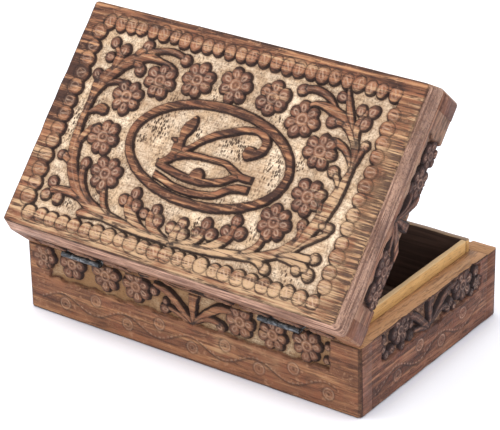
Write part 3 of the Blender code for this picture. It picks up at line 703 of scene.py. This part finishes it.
def cad_copy(node, on_lid, glued):
    """A copy of a CAD node's mesh, with the lid shut if it is a lid node. It grows to its glued joints."""
    mesh = frame["nodes"][node].data.copy()
    mesh.materials.clear()
    shape = bmesh.new()
    shape.from_mesh(mesh)
    if on_lid:
        bmesh.ops.transform(shape, matrix=LID_CLOSING, verts=shape.verts)
    bmesh.ops.remove_doubles(shape, verts=shape.verts, dist=0.000001)
    for axis, sign in glued:
        furthest = max(vert.co[axis] * sign for vert in shape.verts)
        for vert in shape.verts:
            if vert.co[axis] * sign > furthest - 0.00001:
                vert.co[axis] += sign * GLUE_LINE
    shape.to_mesh(mesh)
    shape.free()
    return link("cad_copy", mesh)


def carve(node, relief, thickness, body, outer, inner, glued=()):
    """The CAD board, with its outer face carved to the relief."""
    board = link("carved_" + node, envelope(relief, thickness))
    tool = cad_copy(node, body == "lid", glued)
    step = board.modifiers.new("outline", "BOOLEAN")
    step.operation = "INTERSECT"
    step.solver = "MANIFOLD"
    step.object = tool
    evaluated = board.evaluated_get(bpy.context.evaluated_depsgraph_get())
    mesh = bpy.data.meshes.new_from_object(evaluated)
    mesh.name = board.name
    mesh.materials.clear()
    board.modifiers.clear()
    board.data = mesh
    bpy.data.objects.remove(tool)
    mesh.shade_smooth()
    mesh.set_sharp_from_angle(angle=SHARP_ANGLE)
    corners = Corners(mesh, relief.face)
    paint(mesh, relief, corners, 1.0 if node.endswith("rail") else -1.0)
    lay_out(mesh, corners)
    give(board, node, body, "carved_wood", outer, inner, CARVED_END)
    backs = corners.out < -0.9
    ends = (np.abs(corners.sideways) > 0.9) & (outer == CARVED_LONG)
    mesh.polygons.foreach_set("material_index", (backs + 2 * ends).astype(np.int32))
    store(mesh, "place", corners.points, "FLOAT_VECTOR", "POINT")
    if body == "lid":
        mesh.transform(LID_OPENING)


class Corners:
    """The mesh's face corners as its carved face sees them, in millimetres, and its faces' directions."""

    def __init__(self, mesh, face):
        self.points = read(mesh.vertices, "co", 3, np.float32).reshape(-1, 3)
        points = read(mesh.loops, "vertex_index", 1, np.int32)
        counts = read(mesh.polygons, "loop_total", 1, np.int32)
        normals = read(mesh.polygons, "normal", 3, np.float32).reshape(-1, 3)
        self.face = face
        self.owners = np.repeat(np.arange(len(counts)), counts)
        local = (self.points - face.corner) / MM
        ways = (face.along, face.down, face.normal)
        self.u, self.v, height = ((local @ way)[points] for way in ways)
        self.depth = -height
        self.sideways, self.upright, self.out = (normals @ way for way in ways)
        within = np.minimum(np.minimum(self.u, face.width - self.u),
                            np.minimum(self.v, face.height - self.v))
        inmost = np.full(len(counts), -FAR)
        np.maximum.at(inmost, self.owners, within)
        least = np.where(inmost > EDGE_STRIP, CARVED_FACING, face.edge_facing)
        self.carved = ((inmost > CARVED_MARGIN) & (self.out > least))[self.owners]


def read(items, title, width, kind):
    values = np.zeros(len(items) * width, kind)
    items.foreach_get(title, values)
    return values


def store(mesh, title, values, kind="FLOAT", domain="CORNER"):
    attribute = mesh.attributes.new(title, kind, domain)
    attribute.data.foreach_set("vector" if kind == "FLOAT_VECTOR" else "value",
                               np.asarray(values, np.float32).reshape(-1))


def paint(mesh, relief, corners, joint_side):
    """Store the relief's maps on the carved face's corners. The other faces are plain wood."""
    plain = dict.fromkeys(("crease", "light", "tone", "torn", "cool", "marks", "soft"), 0.0)
    plain["reach"] = -STORED_REACH
    # plain faces turned along the board get the face's painted shade
    plain["dark"] = np.where(np.abs(corners.sideways[corners.owners]) > 0.5, relief.face.end_painted_shade, 0.0)
    for title, missing in plain.items():
        store(mesh, title, np.where(corners.carved, relief.sample(title, corners.u, corners.v), missing))
    store(mesh, "side", 1.0 - corners.carved)
    store(mesh, "rim", ~corners.carved & (corners.upright[corners.owners] * joint_side > 0.7))


def lay_out(mesh, corners):
    """The carved face fills the upper part of the surface map, and the other faces share the lower part."""
    u = corners.u / corners.face.width
    v = corners.v / corners.face.height
    w = corners.depth / 20.0
    ways = (corners.out, corners.sideways, corners.upright)
    out, sideways, upright = (way[corners.owners] for way in ways)
    back = out < -0.7
    ends = np.abs(sideways) > np.abs(upright)
    x = np.where(ends, np.where(sideways < 0, 0.52, 0.75) + 0.20 * v, 0.52 + 0.46 * u)
    y = np.where(ends, 0.16 + 0.10 * w, np.where(upright < 0, 0.01, 0.08) + 0.06 * w)
    x = np.where(back, 0.01 + 0.45 * u, x)
    y = np.where(back, 0.01 + 0.26 * v, y)
    x = np.where(corners.carved, 0.01 + 0.98 * u, x)
    y = np.where(corners.carved, 0.31 + 0.67 * (1 - v), y)
    flat = np.clip(np.stack([x, y], -1), 0.001, 0.999).astype(np.float32)
    mesh.uv_layers.new(name="OFBake").data.foreach_set("uv", flat.reshape(-1))


# ---------------------------------------------------------------- materials
class Value:
    """One output of a node. It can be added, subtracted, multiplied and mapped like a number."""

    def __init__(self, nodes, socket):
        self.nodes = nodes
        self.socket = socket

    def __add__(self, other):
        return self.nodes.math("ADD", self, other)

    def __sub__(self, other):
        return self.nodes.math("SUBTRACT", self, other)

    def __mul__(self, other):
        return self.nodes.math("MULTIPLY", self, other)

    def most(self, other):
        return self.nodes.math("MAXIMUM", self, other)

    def least(self, other):
        return self.nodes.math("MINIMUM", self, other)

    def range(self, low, high, to_low=0.0, to_high=1.0):
        """Smoothly from to_low, where the value is low, to to_high."""
        inputs = {"Value": self, "From Min": low, "From Max": high, "To Min": to_low, "To Max": to_high}
        return self.nodes.node("ShaderNodeMapRange", "Result", inputs, clamp=True,
                               interpolation_type="SMOOTHSTEP")


class Nodes:
    """Short calls for building one material."""

    def __init__(self, name):
        self.material = bpy.data.materials.new(name)
        self.material.use_nodes = True
        self.tree = self.material.node_tree
        self.shader = self.tree.nodes["Principled BSDF"]
        self.place = self.node("ShaderNodeTexCoord", "Object", {})

    def put(self, node, inputs):
        for socket, value in inputs.items():
            if isinstance(value, Value):
                self.tree.links.new(value.socket, node.inputs[socket])
            else:
                node.inputs[socket].default_value = value

    def node(self, kind, output, inputs, **settings):
        """Add a node, set or wire its inputs and return one of its outputs."""
        node = self.tree.nodes.new(kind)
        for key, value in settings.items():
            setattr(node, key, value)
        self.put(node, inputs)
        return Value(self, node.outputs[output])

    def stretched(self, scale):
        """Coordinates scaled to this many features per metre, the same on all axes or one by one."""
        scale = scale if isinstance(scale, tuple) else (scale, scale, scale)
        return self.node("ShaderNodeMapping", "Vector", {"Vector": self.place, "Scale": scale})

    def noise(self, scale, detail=3.0, roughness=0.55, distortion=0.0):
        inputs = {"Vector": self.stretched(scale), "Scale": 1.0, "Detail": detail, "Roughness": roughness,
                  "Distortion": distortion}
        return self.node("ShaderNodeTexNoise", "Fac", inputs)

    def cells(self, scale, randomness):
        inputs = {"Vector": self.stretched(scale), "Scale": 1.0, "Randomness": randomness}
        return self.node("ShaderNodeTexVoronoi", "Distance", inputs)

    def math(self, operation, first, second):
        return self.node("ShaderNodeMath", "Value", {0: first, 1: second}, operation=operation)

    def stored(self, title, output="Fac"):
        return self.node("ShaderNodeAttribute", output, {}, attribute_name=title)

    def mix(self, factor, first, second, blend="MIX"):
        inputs = {0: factor, 6: first, 7: second}
        for socket in (6, 7):
            if isinstance(inputs[socket], tuple):
                inputs[socket] = (*inputs[socket], 1.0)
        return self.node("ShaderNodeMix", 2, inputs, data_type="RGBA", blend_type=blend)

    def coats(self, colour, *layers):
        """Lay colours over the first one, each with its own mask."""
        for mask, coat in layers:
            colour = self.mix(mask, colour, coat)
        return colour

    def done(self, colour, roughness, bump=None, metallic=0.0, specular=0.35):
        """The finished material; bump holds a height, its distance in metres and its strength."""
        if bump:
            inputs = dict(zip(("Height", "Distance", "Strength"), bump))
            self.put(self.shader, {"Normal": self.node("ShaderNodeBump", "Normal", inputs)})
        self.put(self.shader, {"Base Color": colour, "Roughness": roughness, "Metallic": metallic,
                               "Specular IOR Level": specular})
        return self.material


# the carved wood's browns
DEEP_BROWN = (0.125, 0.050, 0.026)
CALM_BROWN = (0.190, 0.080, 0.045)
WARM_BROWN = (0.320, 0.138, 0.068)
PALE_BROWN = (0.540, 0.285, 0.140)
RED_BROWN = (0.290, 0.100, 0.052)
COOL_BROWN = (0.185, 0.078, 0.050)
TAN = (0.590, 0.400, 0.230)
RUBBED_TAN = (0.490, 0.275, 0.165)
EDGE_PINK = (0.700, 0.430, 0.300)
EDGE_BROWN = (0.170, 0.082, 0.056)
RIM_TAN = (0.540, 0.290, 0.140)
MARK_TAN = (0.660, 0.450, 0.320)
BURNT = (0.042, 0.017, 0.012)
# the next colour is bluish dark: scorch and painted shade in one
SCORCH_AND_SHADE = (0.022, 0.013, 0.012)
# its sunk ground and torn edge
CREAM = (0.680, 0.490, 0.310)
PALE_CREAM = (0.900, 0.730, 0.530)
OLD_CREAM = (0.250, 0.140, 0.080)
GROUND_TAN = (0.335, 0.185, 0.088)
# the next colour is painted shade on the ground along the raised shapes
BURNT_GROUND = (0.060, 0.032, 0.022)
SHADE_HALO_BROWN = (0.250, 0.130, 0.070)
TICK_BROWN = (0.055, 0.028, 0.018)
STRAW = (0.600, 0.370, 0.200)
TORN_BROWN = (0.085, 0.045, 0.032)
# painted light on the lid and painted shade on the long and end boards, laid over all of it
TOP_PAINTED_LIGHT = (1.08, 1.06, 1.07)
LONG_PAINTED_SHADE = (0.88, 0.86, 0.82)
END_PAINTED_SHADE = (0.67, 0.61, 0.69)
# the other materials
STAIN_DARK = (0.060, 0.035, 0.027)
STAIN_PALE = (0.120, 0.070, 0.052)
STAIN_RUBBED = (0.160, 0.094, 0.066)
OCHRE = (0.640, 0.380, 0.145)
DEEP_OCHRE = (0.430, 0.225, 0.072)
HANDLED_OCHRE = (0.600, 0.400, 0.200)
GREY_OCHRE = (0.230, 0.160, 0.120)
LOCK_WOOD = (0.430, 0.260, 0.120)
DEEP_LOCK_WOOD = (0.260, 0.130, 0.055)
PORE_BROWN = (0.110, 0.050, 0.020)
IRON_DARK = (0.060, 0.064, 0.070)
IRON_PALE = (0.260, 0.270, 0.285)
STEEL_DARK = (0.090, 0.085, 0.080)
STEEL_PALE = (0.300, 0.290, 0.280)
RUST = (0.045, 0.022, 0.014)
PAPER = (0.87, 0.88, 0.95)
PAPER_PALE = (0.90, 0.91, 0.97)
PAPER_SHADED = (0.82, 0.83, 0.91)


def lengthwise(along_x, along, across):
    """Features per metre of something drawn out along the board."""
    return (along, across, across) if along_x else (across, along, across)


def oiled_wood(n, deep, side_tint, lined):
    """Brown raised wood: streaks, stains, rubbed places and open grain, and pinkish layers on its sides."""
    rubbed = n.worn.range(0.54, 0.70, 0.0, 0.55) * n.cool.range(0.0, 1.0, 1.0, 0.60)
    layers = n.noise((30.0, 30.0, 620.0), 4.0, 0.65, 0.4)
    edge_brown = n.coats(EDGE_BROWN, (layers.range(0.36, 0.60), EDGE_PINK),
                         (n.patches.range(0.44, 0.60, 0.0, 0.45), EDGE_BROWN))
    open_grain = n.side.range(0.0, 1.0, 1.0, 0.55) + n.rim * 0.10
    return n.coats(
        deep,
        (n.coarse.range(0.32, 0.68), WARM_BROWN),
        (n.streaks.range(0.50, 0.68, 0.0, 0.75), PALE_BROWN),
        (n.blotches.range(0.48, 0.70, 0.0, 0.45), RED_BROWN),
        (n.cool * n.blotches.range(0.35, 0.65, 0.45, 0.85), COOL_BROWN),
        (n.tone.range(0.15, 1.0, 0.0, 0.80), TAN),
        (n.tone.range(-0.20, -1.2, 0.0, 0.90), BURNT),
        (rubbed, RUBBED_TAN),
        (n.side * n.blotches.range(0.35, 0.65, *side_tint), edge_brown),
        (n.rim * n.coarse.range(0.35, 0.6, 0.6, 0.9), RIM_TAN),
        (n.fine.range(0.49, 0.62, 0.0, lined) * open_grain, BURNT))


def chisel_marks(n):
    """Dots and short ticks in rows, on the sunk ground."""
    rows = n.noise((150.0, 90.0, 150.0), 3.0, 0.7)
    dots = n.cells(520.0, 0.85).range(0.36, 0.16) * rows.range(0.44, 0.58)
    ticks = n.cells((900.0, 430.0, 900.0), 0.75).range(0.52, 0.30) * rows.range(0.36, 0.48)
    return (dots * 0.60).most(ticks * (n.stored("marks") + 0.30).least(1.0))


def limed_ground(n, pale, burnt):
    """The sunk ground: limewash, worn off to bare wood where pale is low, with painted shade along the
    shapes.
    """
    limeless = n.blotches.range(0.3, 0.7, 0.75, 1.0) * n.tone.range(0.7, -0.5, 0.35, 1.25)
    # painted shade on the ground along the raised shapes, less where the limewash is clean
    shade_halo = n.blotches.range(0.3, 0.7, 0.60 - 0.25 * pale, 0.95 - 0.20 * pale)
    shade_halo = n.reach.range(2.3 - 0.6 * pale, 0.5) * shade_halo * n.edged
    return n.coats(
        CREAM,
        (n.blotches.range(0.34, 0.66), PALE_CREAM),
        (n.flecks.range(0.48, 0.62, 0.0, 0.45), OLD_CREAM),
        (n.patches.range(0.60, 0.40, 0.0, 0.35), OLD_CREAM),
        (n.fine.range(0.50, 0.60, 0.0, 0.40), OLD_CREAM),
        (n.chisel * 0.95, TICK_BROWN),
        (limeless * (1.0 - pale), GROUND_TAN),
        (n.worn.range(0.56, 0.48) * burnt, BURNT_GROUND),
        (shade_halo, SHADE_HALO_BROWN))


def scorch_and_shade(n):
    """Scorch and painted shade down the carving's walls and in its creases, and where the relief's dark map
    asks for it.
    """
    # the walls' dark band and the creases are painted shade as well as scorch
    wall = n.reach.range(-0.80, -0.05) * n.reach.range(0.85, 0.45)
    mottled_scorch_and_shade = n.reach.range(-1.4, -0.1) * n.reach.range(0.6, 0.3) * n.blotches.range(0.40, 0.65, 0.0, 0.65)
    dark = n.stored("dark") * n.worn.range(0.3, 0.6, 0.7, 1.0)
    return (wall.most(mottled_scorch_and_shade) * n.edged).most(n.stored("crease")).most(dark)


def carved_wood(name, along_x, pale, shade, burnt=0.0, side_tint=(0.25, 0.65), deep=DEEP_BROWN,
                marked=0.85, streaky=1.0, lined=0.85):
    """Oiled, scorched carving on a limewashed ground, with painted shade on its walls and in its creases.

    pale is how clean the limewash is and burnt how much of the ground is burnt. side_tint is how pink
    the board's sides are, at least and at most. marked, streaky and lined are the strengths of the pale
    cuts, the streaks and the open grain. shade is painted light and shade, laid over all but the rim
    and the pale cuts.
    """
    n = Nodes(name)
    n.place = n.stored("place", "Vector")
    n.coarse = n.noise(lengthwise(along_x, 9.0, 260.0), 4.0, 0.62, 0.5)
    n.fine = n.noise(lengthwise(along_x, 80.0 if along_x else 110.0, 900.0), 3.0, 0.65, 0.6)
    n.streaks = n.noise(lengthwise(along_x, 16.0, 520.0), 3.0, 0.6, 0.3)
    n.patches = n.noise(45.0, 3.0, 0.6)
    n.blotches = n.noise(120.0, 3.0, 0.6)
    n.flecks = n.noise(1000.0, 2.0, 0.6)
    n.worn = n.noise(260.0, 4.0, 0.68)
    n.cool = n.stored("cool")
    n.side = n.stored("side")
    n.rim = n.stored("rim")
    n.edged = n.stored("soft").range(0.0, 1.0, 1.0, 0.30)
    n.reach = n.stored("reach") + (n.worn - 0.5) * 0.7
    n.tone = n.stored("tone") + (n.patches - 0.5) * 1.6 + (n.streaks - 0.5) * streaky
    n.chisel = chisel_marks(n)

    ground = n.reach.range(0.20, 0.55)
    light = n.stored("light") * n.flecks.range(0.30, 0.60, 0.6 * marked, marked)
    frayed = n.stored("torn")
    torn = frayed * n.noise((45.0, 1250.0, 1250.0), 2.0, 0.5).range(0.48, 0.56)
    colour = n.coats(
        n.mix(ground, oiled_wood(n, deep, side_tint, lined), limed_ground(n, pale, burnt)),
        (light, MARK_TAN),
        (scorch_and_shade(n) * 0.92, SCORCH_AND_SHADE),
        (frayed * n.blotches.range(0.40, 0.60, 0.55, 0.15), STRAW),
        (torn * 0.88, TORN_BROWN))
    if burnt:
        colour = n.mix(n.cool * n.worn.range(0.35, 0.60, 0.80, 0.20), colour, BURNT)
    # painted light and shade, multiplied over all but the rim and the pale cuts
    bright = n.rim.most(light * 0.9)
    colour = n.mix(bright.range(0.0, 1.0, 1.0, 0.0), colour, shade, "MULTIPLY")
    height = n.coarse * 0.5 + n.fine * 0.45 + n.flecks * 0.6 + n.worn * 0.9
    height = height - n.chisel * ground * 1.1 - torn * 1.2
    roughness = n.worn.range(0.3, 0.7, 0.48, 0.66) + ground * 0.18
    return n.done(colour, roughness, (height, 0.0007, 0.9), specular=0.22)


def dark_stain(name):
    """The near-black stain of the inside."""
    n = Nodes(name)
    grain = n.noise((20.0, 420.0, 420.0), 4.0, 0.6, 0.3)
    patches = n.noise(70.0, 3.0)
    colour = n.coats(STAIN_DARK, (grain.range(0.35, 0.7), STAIN_PALE),
                     (patches.range(0.5, 0.8, 0.0, 0.5), STAIN_RUBBED))
    return n.done(colour, patches.range(0.3, 0.7, 0.55, 0.75), (grain, 0.0002, 0.6))


def raw_wood(name, along_x, pale, deep, tips=HANDLED_OCHRE):
    """Unstained sanded wood with short dark pores; tips is the colour of its handled edges."""
    n = Nodes(name)
    grain = n.noise(lengthwise(along_x, 9.0, 260.0), 4.0, 0.6, 0.5)
    pores = n.noise(lengthwise(along_x, 170.0, 2400.0), 2.0, 0.6)
    patches = n.noise(55.0, 3.0, 0.6)
    colour = n.coats(deep, (grain.range(0.30, 0.70), pale), (patches.range(0.45, 0.75, 0.0, 0.45), deep),
                     (pores.range(0.56, 0.66, 0.0, 0.6), PORE_BROWN), (n.stored("handled") * 0.85, tips))
    height = grain * 0.4 - pores.range(0.56, 0.66) * 0.6
    return n.done(colour, patches.range(0.3, 0.7, 0.48, 0.62), (height, 0.00018, 0.7))


def old_iron(name, dark, pale):
    """Blackened sheet iron, rubbed bright in patches."""
    n = Nodes(name)
    rubbed = n.noise((320.0, 900.0, 900.0), 4.0, 0.65)
    pits = n.noise(2600.0, 2.0, 0.6)
    colour = n.coats(dark, (rubbed.range(0.42, 0.70), pale), (pits.range(0.60, 0.72, 0.0, 0.7), RUST))
    bump = (pits * 0.6 + rubbed, 0.00012, 0.6)
    return n.done(colour, rubbed.range(0.35, 0.7, 0.52, 0.34), bump, metallic=0.85, specular=0.5)


def floor_paper():
    """White paper that glows a little, but less in the shade close to the box."""
    n = Nodes("floor_paper")
    contact = n.node("ShaderNodeAmbientOcclusion", "AO", {"Distance": CONTACT_REACH})
    open_sky = contact.range(0.33, 1.0)
    white = n.mix(n.noise(60.0, 2.0), PAPER, PAPER_PALE)
    n.put(n.shader, {"Emission Color": (1.0, 1.0, 1.0, 1.0), "Emission Strength": open_sky * FLOOR_GLOW})
    return n.done(n.mix(open_sky, PAPER_SHADED, white), 0.85, specular=0.1)


# ---------------------------------------------------------------- pieces
def give(piece, node, body, slot, *materials):
    """Materials, body and replaced node of one piece; slot is not used."""
    for made in materials:
        piece.data.materials.append(made)
    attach(piece, body)
    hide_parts(node)


CARVED_TOP = carved_wood("carved_wood_lid", True, 1.0, TOP_PAINTED_LIGHT, side_tint=(0.70, 0.95), marked=0.72,
                         streaky=3.5)
CARVED_LONG = carved_wood("carved_wood_lengthwise", True, 0.06, LONG_PAINTED_SHADE, deep=CALM_BROWN, marked=0.62,
                          lined=0.55)
CARVED_END = carved_wood("carved_wood_crosswise", False, 0.45, END_PAINTED_SHADE, 0.80, (0.10, 0.30), lined=0.65)
INSIDE = dark_stain("inside_stain")
OCHRE_Y = raw_wood("liner_wood_crosswise", False, OCHRE, DEEP_OCHRE)
OCHRE_X = raw_wood("liner_wood_lengthwise", True, OCHRE, DEEP_OCHRE, GREY_OCHRE)
RUBBED = raw_wood("lock_wood_grain", True, LOCK_WOOD, DEEP_LOCK_WOOD)
IRON = old_iron("hinge_iron_worn", IRON_DARK, IRON_PALE)
STEEL = old_iron("nail_steel_dull", STEEL_DARK, STEEL_PALE)


# each side's carving: flowers (u, v, radius), single buds (u, v, radius), sprays (u) and the band's two ends
REAR_BASE = ([(29, 5.6, 8.6), (50.5, 6, 8.8), (69.8, 6.2, 8.9), (133.3, 6.8, 8.9), (152.6, 8, 8.6),
              (172.4, 7.8, 8.8), (10.5, 6.5, 7.4)],
             [(81, 5.4, 2.6), (88, 9, 1.8), (183.4, 12.6, 2), (184, 5, 2)], (104.2,), (14, 185))
FRONT_BASE = ([(26, 6.4, 8.6), (46, 5.8, 8.6), (66, 6.6, 8.7), (138, 6.4, 8.8), (158, 6.8, 8.6),
               (178, 6.2, 8.6)],
              [(77.5, 4, 2.4), (127.5, 4, 2.4)], (101.5,), (14, 189))
LEFT_BASE = ([(25.5, 6, 7.8), (83, 7, 8.8), (97, 11.8, 4.4)],
             [(10.5, 4.5, 2.4), (10.2, 9.6, 2.2), (12.8, 13.8, 2.4), (17.5, 13, 2.6), (27, 15.4, 2.4),
              (35, 13.4, 2.8), (34.8, 7.4, 2.2), (71.2, 11.6, 2.8), (74.6, 15, 2.2), (69.6, 4.4, 2.4),
              (91.6, 15.2, 2.2), (95.4, 4.6, 2.8), (32.4, 2.6, 2.2)], (51.5,), (8.5, 99.5))
RIGHT_BASE = ([(20.5, 6.6, 8.4), (84, 6.4, 8.6)],
              [(9.5, 4.5, 2.6), (9.2, 11.8, 2.8), (96.5, 5, 2.6), (96, 12, 2.6)], (52,), (5.5, 100.5))
REAR_LID = ([(20, 12.6, 8.2), (40, 11.4, 8.4), (61, 12.4, 8.4), (124, 11.8, 8.2), (145, 12.6, 8.4),
             (165, 11.6, 8.2), (183, 12.8, 7.6)],
            [(72, 9, 2.6)], (92,), (10, 193))
FRONT_LID = ([(20, 12.4, 8.2), (39, 11.6, 8.4), (59, 12.6, 8.2), (78, 12, 7.6), (126, 12, 8.2),
              (146, 11.6, 8.4), (165, 12.4, 8.2), (184, 12, 7.6)],
             [], (102,), (10, 193))
LEFT_LID = ([(15, 12.6, 7.4), (27, 11.8, 8), (72, 12.2, 8.2), (86, 11.6, 7)],
            [], (50,), (8, 93.5))
RIGHT_LID = ([(19, 11.8, 7.4), (33.5, 12.6, 8.2), (77.5, 11.6, 8.2), (91, 12.4, 7)],
             [], (55,), (12, 98))


def side_face(kind, top, height):
    """The outer face of a rear, front, left or right board. End boards stand between the long ones."""
    side = 1 if kind in ("rear", "left") else -1
    if kind in ("rear", "front"):
        return Face((side * HALF_W, side * HALF_D, top), (-side, 0, 0), (0, 0, -1), 2 * HALF_W, height)
    inner = HALF_D - WALL
    return Face((-side * HALF_W, side * inner, top), (0, -side, 0), (0, 0, -1), 2 * inner, height)


def make_lid():
    inset = PANEL_INSET * MM
    width = PANEL_HIGH.x - PANEL_LOW.x - 2 * inset
    depth = PANEL_HIGH.y - PANEL_LOW.y - 2 * inset
    corner = (PANEL_HIGH.x - inset, PANEL_LOW.y + inset, PANEL_HIGH.z)
    face = Face(corner, (-1, 0, 0), (0, 1, 0), width, depth, LID_FACING, LID_END_PAINTED_SHADE)
    carve("lid_top_panel", lid_relief(face), PANEL_HIGH.z - PANEL_LOW.z, "lid", CARVED_TOP, INSIDE)
    rails = [("rear", REAR_LID, 31), ("front", FRONT_LID, 37),
             ("left", LEFT_LID, 41), ("right", RIGHT_LID, 43)]
    for kind, design, seed in rails:
        long = kind in ("rear", "front")
        face = side_face(kind, RAIL_HIGH.z, RAIL_HIGH.z - RAIL_LOW.z)
        relief = rail_relief(face, design, seed, "left right bottom" if long else "bottom")
        carve(f"lid_{kind}_rail", relief, WALL, "lid", CARVED_LONG if long else CARVED_END, INSIDE,
              UNDER_PANEL if long else UNDER_PANEL + BUTT_ENDS)


def make_base():
    walls = [("rear", REAR_BASE, 22.0, 51), ("front", FRONT_BASE, 20.0, 57),
             ("left", LEFT_BASE, 21.5, 61), ("right", RIGHT_BASE, 20.0, 67)]
    for kind, design, phase, seed in walls:
        long = kind in ("rear", "front")
        relief = base_relief(side_face(kind, RIM, RIM), design, phase, seed,
                             "left right top bottom" if long else "top bottom",
                             -BAND_OPEN if long else END_BAND_TOP)
        carve(f"base_{kind}_wall", relief, WALL, "base", CARVED_LONG if long else CARVED_END, INSIDE,
              () if long else BUTT_ENDS)


def make_key_strip():
    """The sliding strip carries on the wall's engraved wave, which hides it."""
    low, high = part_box("key_strip")
    relief = Relief(Face((low.x, low.y, high.z), (1, 0, 0), (0, 0, -1), high.x - low.x, high.z - low.z))
    relief.add(EVERYWHERE, np.full(relief.u.shape, -FAR), creased=False)
    relief.u = relief.u + (low.x + HALF_W) / MM
    relief.v = relief.v + (RIM - high.z) / MM
    engraved_wave(relief, 8.0, 194.0, 20.0)
    relief.tone += 0.35 * relief.noise(20.0, 57) + 0.1
    relief.finish(1.0, round_edge=0.25, seed=71)
    carve("key_strip", relief, high.y - low.y, "lock_slide", CARVED_LONG, CARVED_LONG)


def make_liner(node, inner_axis, inner_sign, wood):
    """A sanded strip with softened edges, stained dark on the side that faces the tray."""
    low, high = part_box(node)
    shape = bmesh.new()
    matrix = Matrix.Translation((low + high) / 2) @ Matrix.Diagonal((*(high - low), 1.0))
    bmesh.ops.create_cube(shape, size=1.0, matrix=matrix)
    bmesh.ops.bevel(shape, geom=list(shape.edges), offset=LINER_BEVEL, offset_type="OFFSET", segments=3,
                    profile=0.5, affect="EDGES")
    long_axis = 0 if high.x - low.x > high.y - low.y else 1
    along = Vector((1.0 - long_axis, long_axis, 0.0))
    for cut in range(1, LINER_CUTS):
        spot = along * (low[long_axis] + (high[long_axis] - low[long_axis]) * cut / LINER_CUTS)
        bmesh.ops.bisect_plane(shape, geom=shape.verts[:] + shape.edges[:] + shape.faces[:], plane_co=spot,
                               plane_no=along)
    for vert in shape.verts:
        place = vert.co[long_axis] * 1000
        if vert.co.z > high.z - MM:
            vert.co.z -= LINER_WEAR * (1 + math.sin(place * 0.21) * math.sin(place * 0.083 + 1.0))
    mesh = bpy.data.meshes.new("sanded_" + node)
    shape.to_mesh(mesh)
    shape.free()
    store(mesh, "handled", [vertex.co.z > high.z - MM / 2 for vertex in mesh.vertices], domain="POINT")
    piece = link("sanded_" + node, mesh)
    mesh.shade_smooth()
    mesh.set_sharp_from_angle(angle=LINER_SHARP)
    give(piece, node, "base", "liner_wood", wood, INSIDE)
    for polygon in mesh.polygons:
        polygon.material_index = int(polygon.normal[inner_axis] * inner_sign > 0.95)


def make_kept_nodes():
    """CAD nodes whose shape is right get their materials here."""
    finishes = {"base_floor": INSIDE, "lock_bolt": RUBBED, "link_pin": RUBBED, "stop_peg": RUBBED,
                "lid_catch": IRON}
    for name in frame["nodes"]:
        if name.startswith("hinge_") and name.endswith("_leaf"):
            finishes[name] = IRON
        elif "nail" in name or name.endswith("_pin") and name != "link_pin":
            finishes[name] = STEEL
    for name, made in finishes.items():
        materials = frame["nodes"][name].data.materials
        materials.clear()
        materials.append(made)


# ---------------------------------------------------------------- stage, light and camera
def make_stage():
    mesh = bpy.data.meshes.new("floor")
    shape = bmesh.new()
    bmesh.ops.create_grid(shape, x_segments=1, y_segments=1, size=FLOOR_SIZE)
    shape.to_mesh(mesh)
    shape.free()
    mesh.materials.append(floor_paper())
    floor = link("floor", mesh)
    floor.location.z = -FLOOR_DROP


def put_at(made, place, rotation):
    made.location = place
    made.rotation_mode = "QUATERNION"
    made.rotation_quaternion = rotation


def make_lights():
    world = bpy.data.worlds.new("studio")
    bpy.context.scene.world = world
    world.use_nodes = True
    background = world.node_tree.nodes["Background"]
    background.inputs["Color"].default_value = (1.0, 1.0, 1.0, 1.0)
    background.inputs["Strength"].default_value = SKY_STRENGTH
    for name, place, size, power, colour in LIGHTS:
        data = bpy.data.lights.new(name, "AREA")
        data.shape = "SQUARE"
        data.size = size
        data.energy = power
        data.color = colour
        put_at(link(name, data), place, (Vector(place) - LIGHT_AIM).to_track_quat("Z", "Y"))
    bpy.context.scene.view_settings.view_transform = "Standard"


def make_camera():
    data = bpy.data.cameras.new("camera")
    data.lens = CAMERA_LENS
    data.sensor_width = CAMERA_SENSOR
    azimuth = math.radians(CAMERA_AZIMUTH)
    elevation = math.radians(CAMERA_ELEVATION)
    back = Vector((math.sin(azimuth) * math.cos(elevation), -math.cos(azimuth) * math.cos(elevation),
                   math.sin(elevation)))
    level = back.to_track_quat("Z", "Y").to_matrix()
    roll = Matrix.Rotation(math.radians(CAMERA_ROLL), 3, back)
    camera = link("camera", data)
    put_at(camera, CAMERA_AIM + back * CAMERA_DISTANCE, (roll @ level).to_quaternion())
    bpy.context.scene.camera = camera


make_camera()
make_stage()
make_lights()
make_lid()
make_base()
make_key_strip()
make_liner("liner_front", 1, 1.0, OCHRE_X)
make_liner("liner_left", 0, 1.0, OCHRE_Y)
make_liner("liner_right", 0, -1.0, OCHRE_Y)
make_kept_nodes()
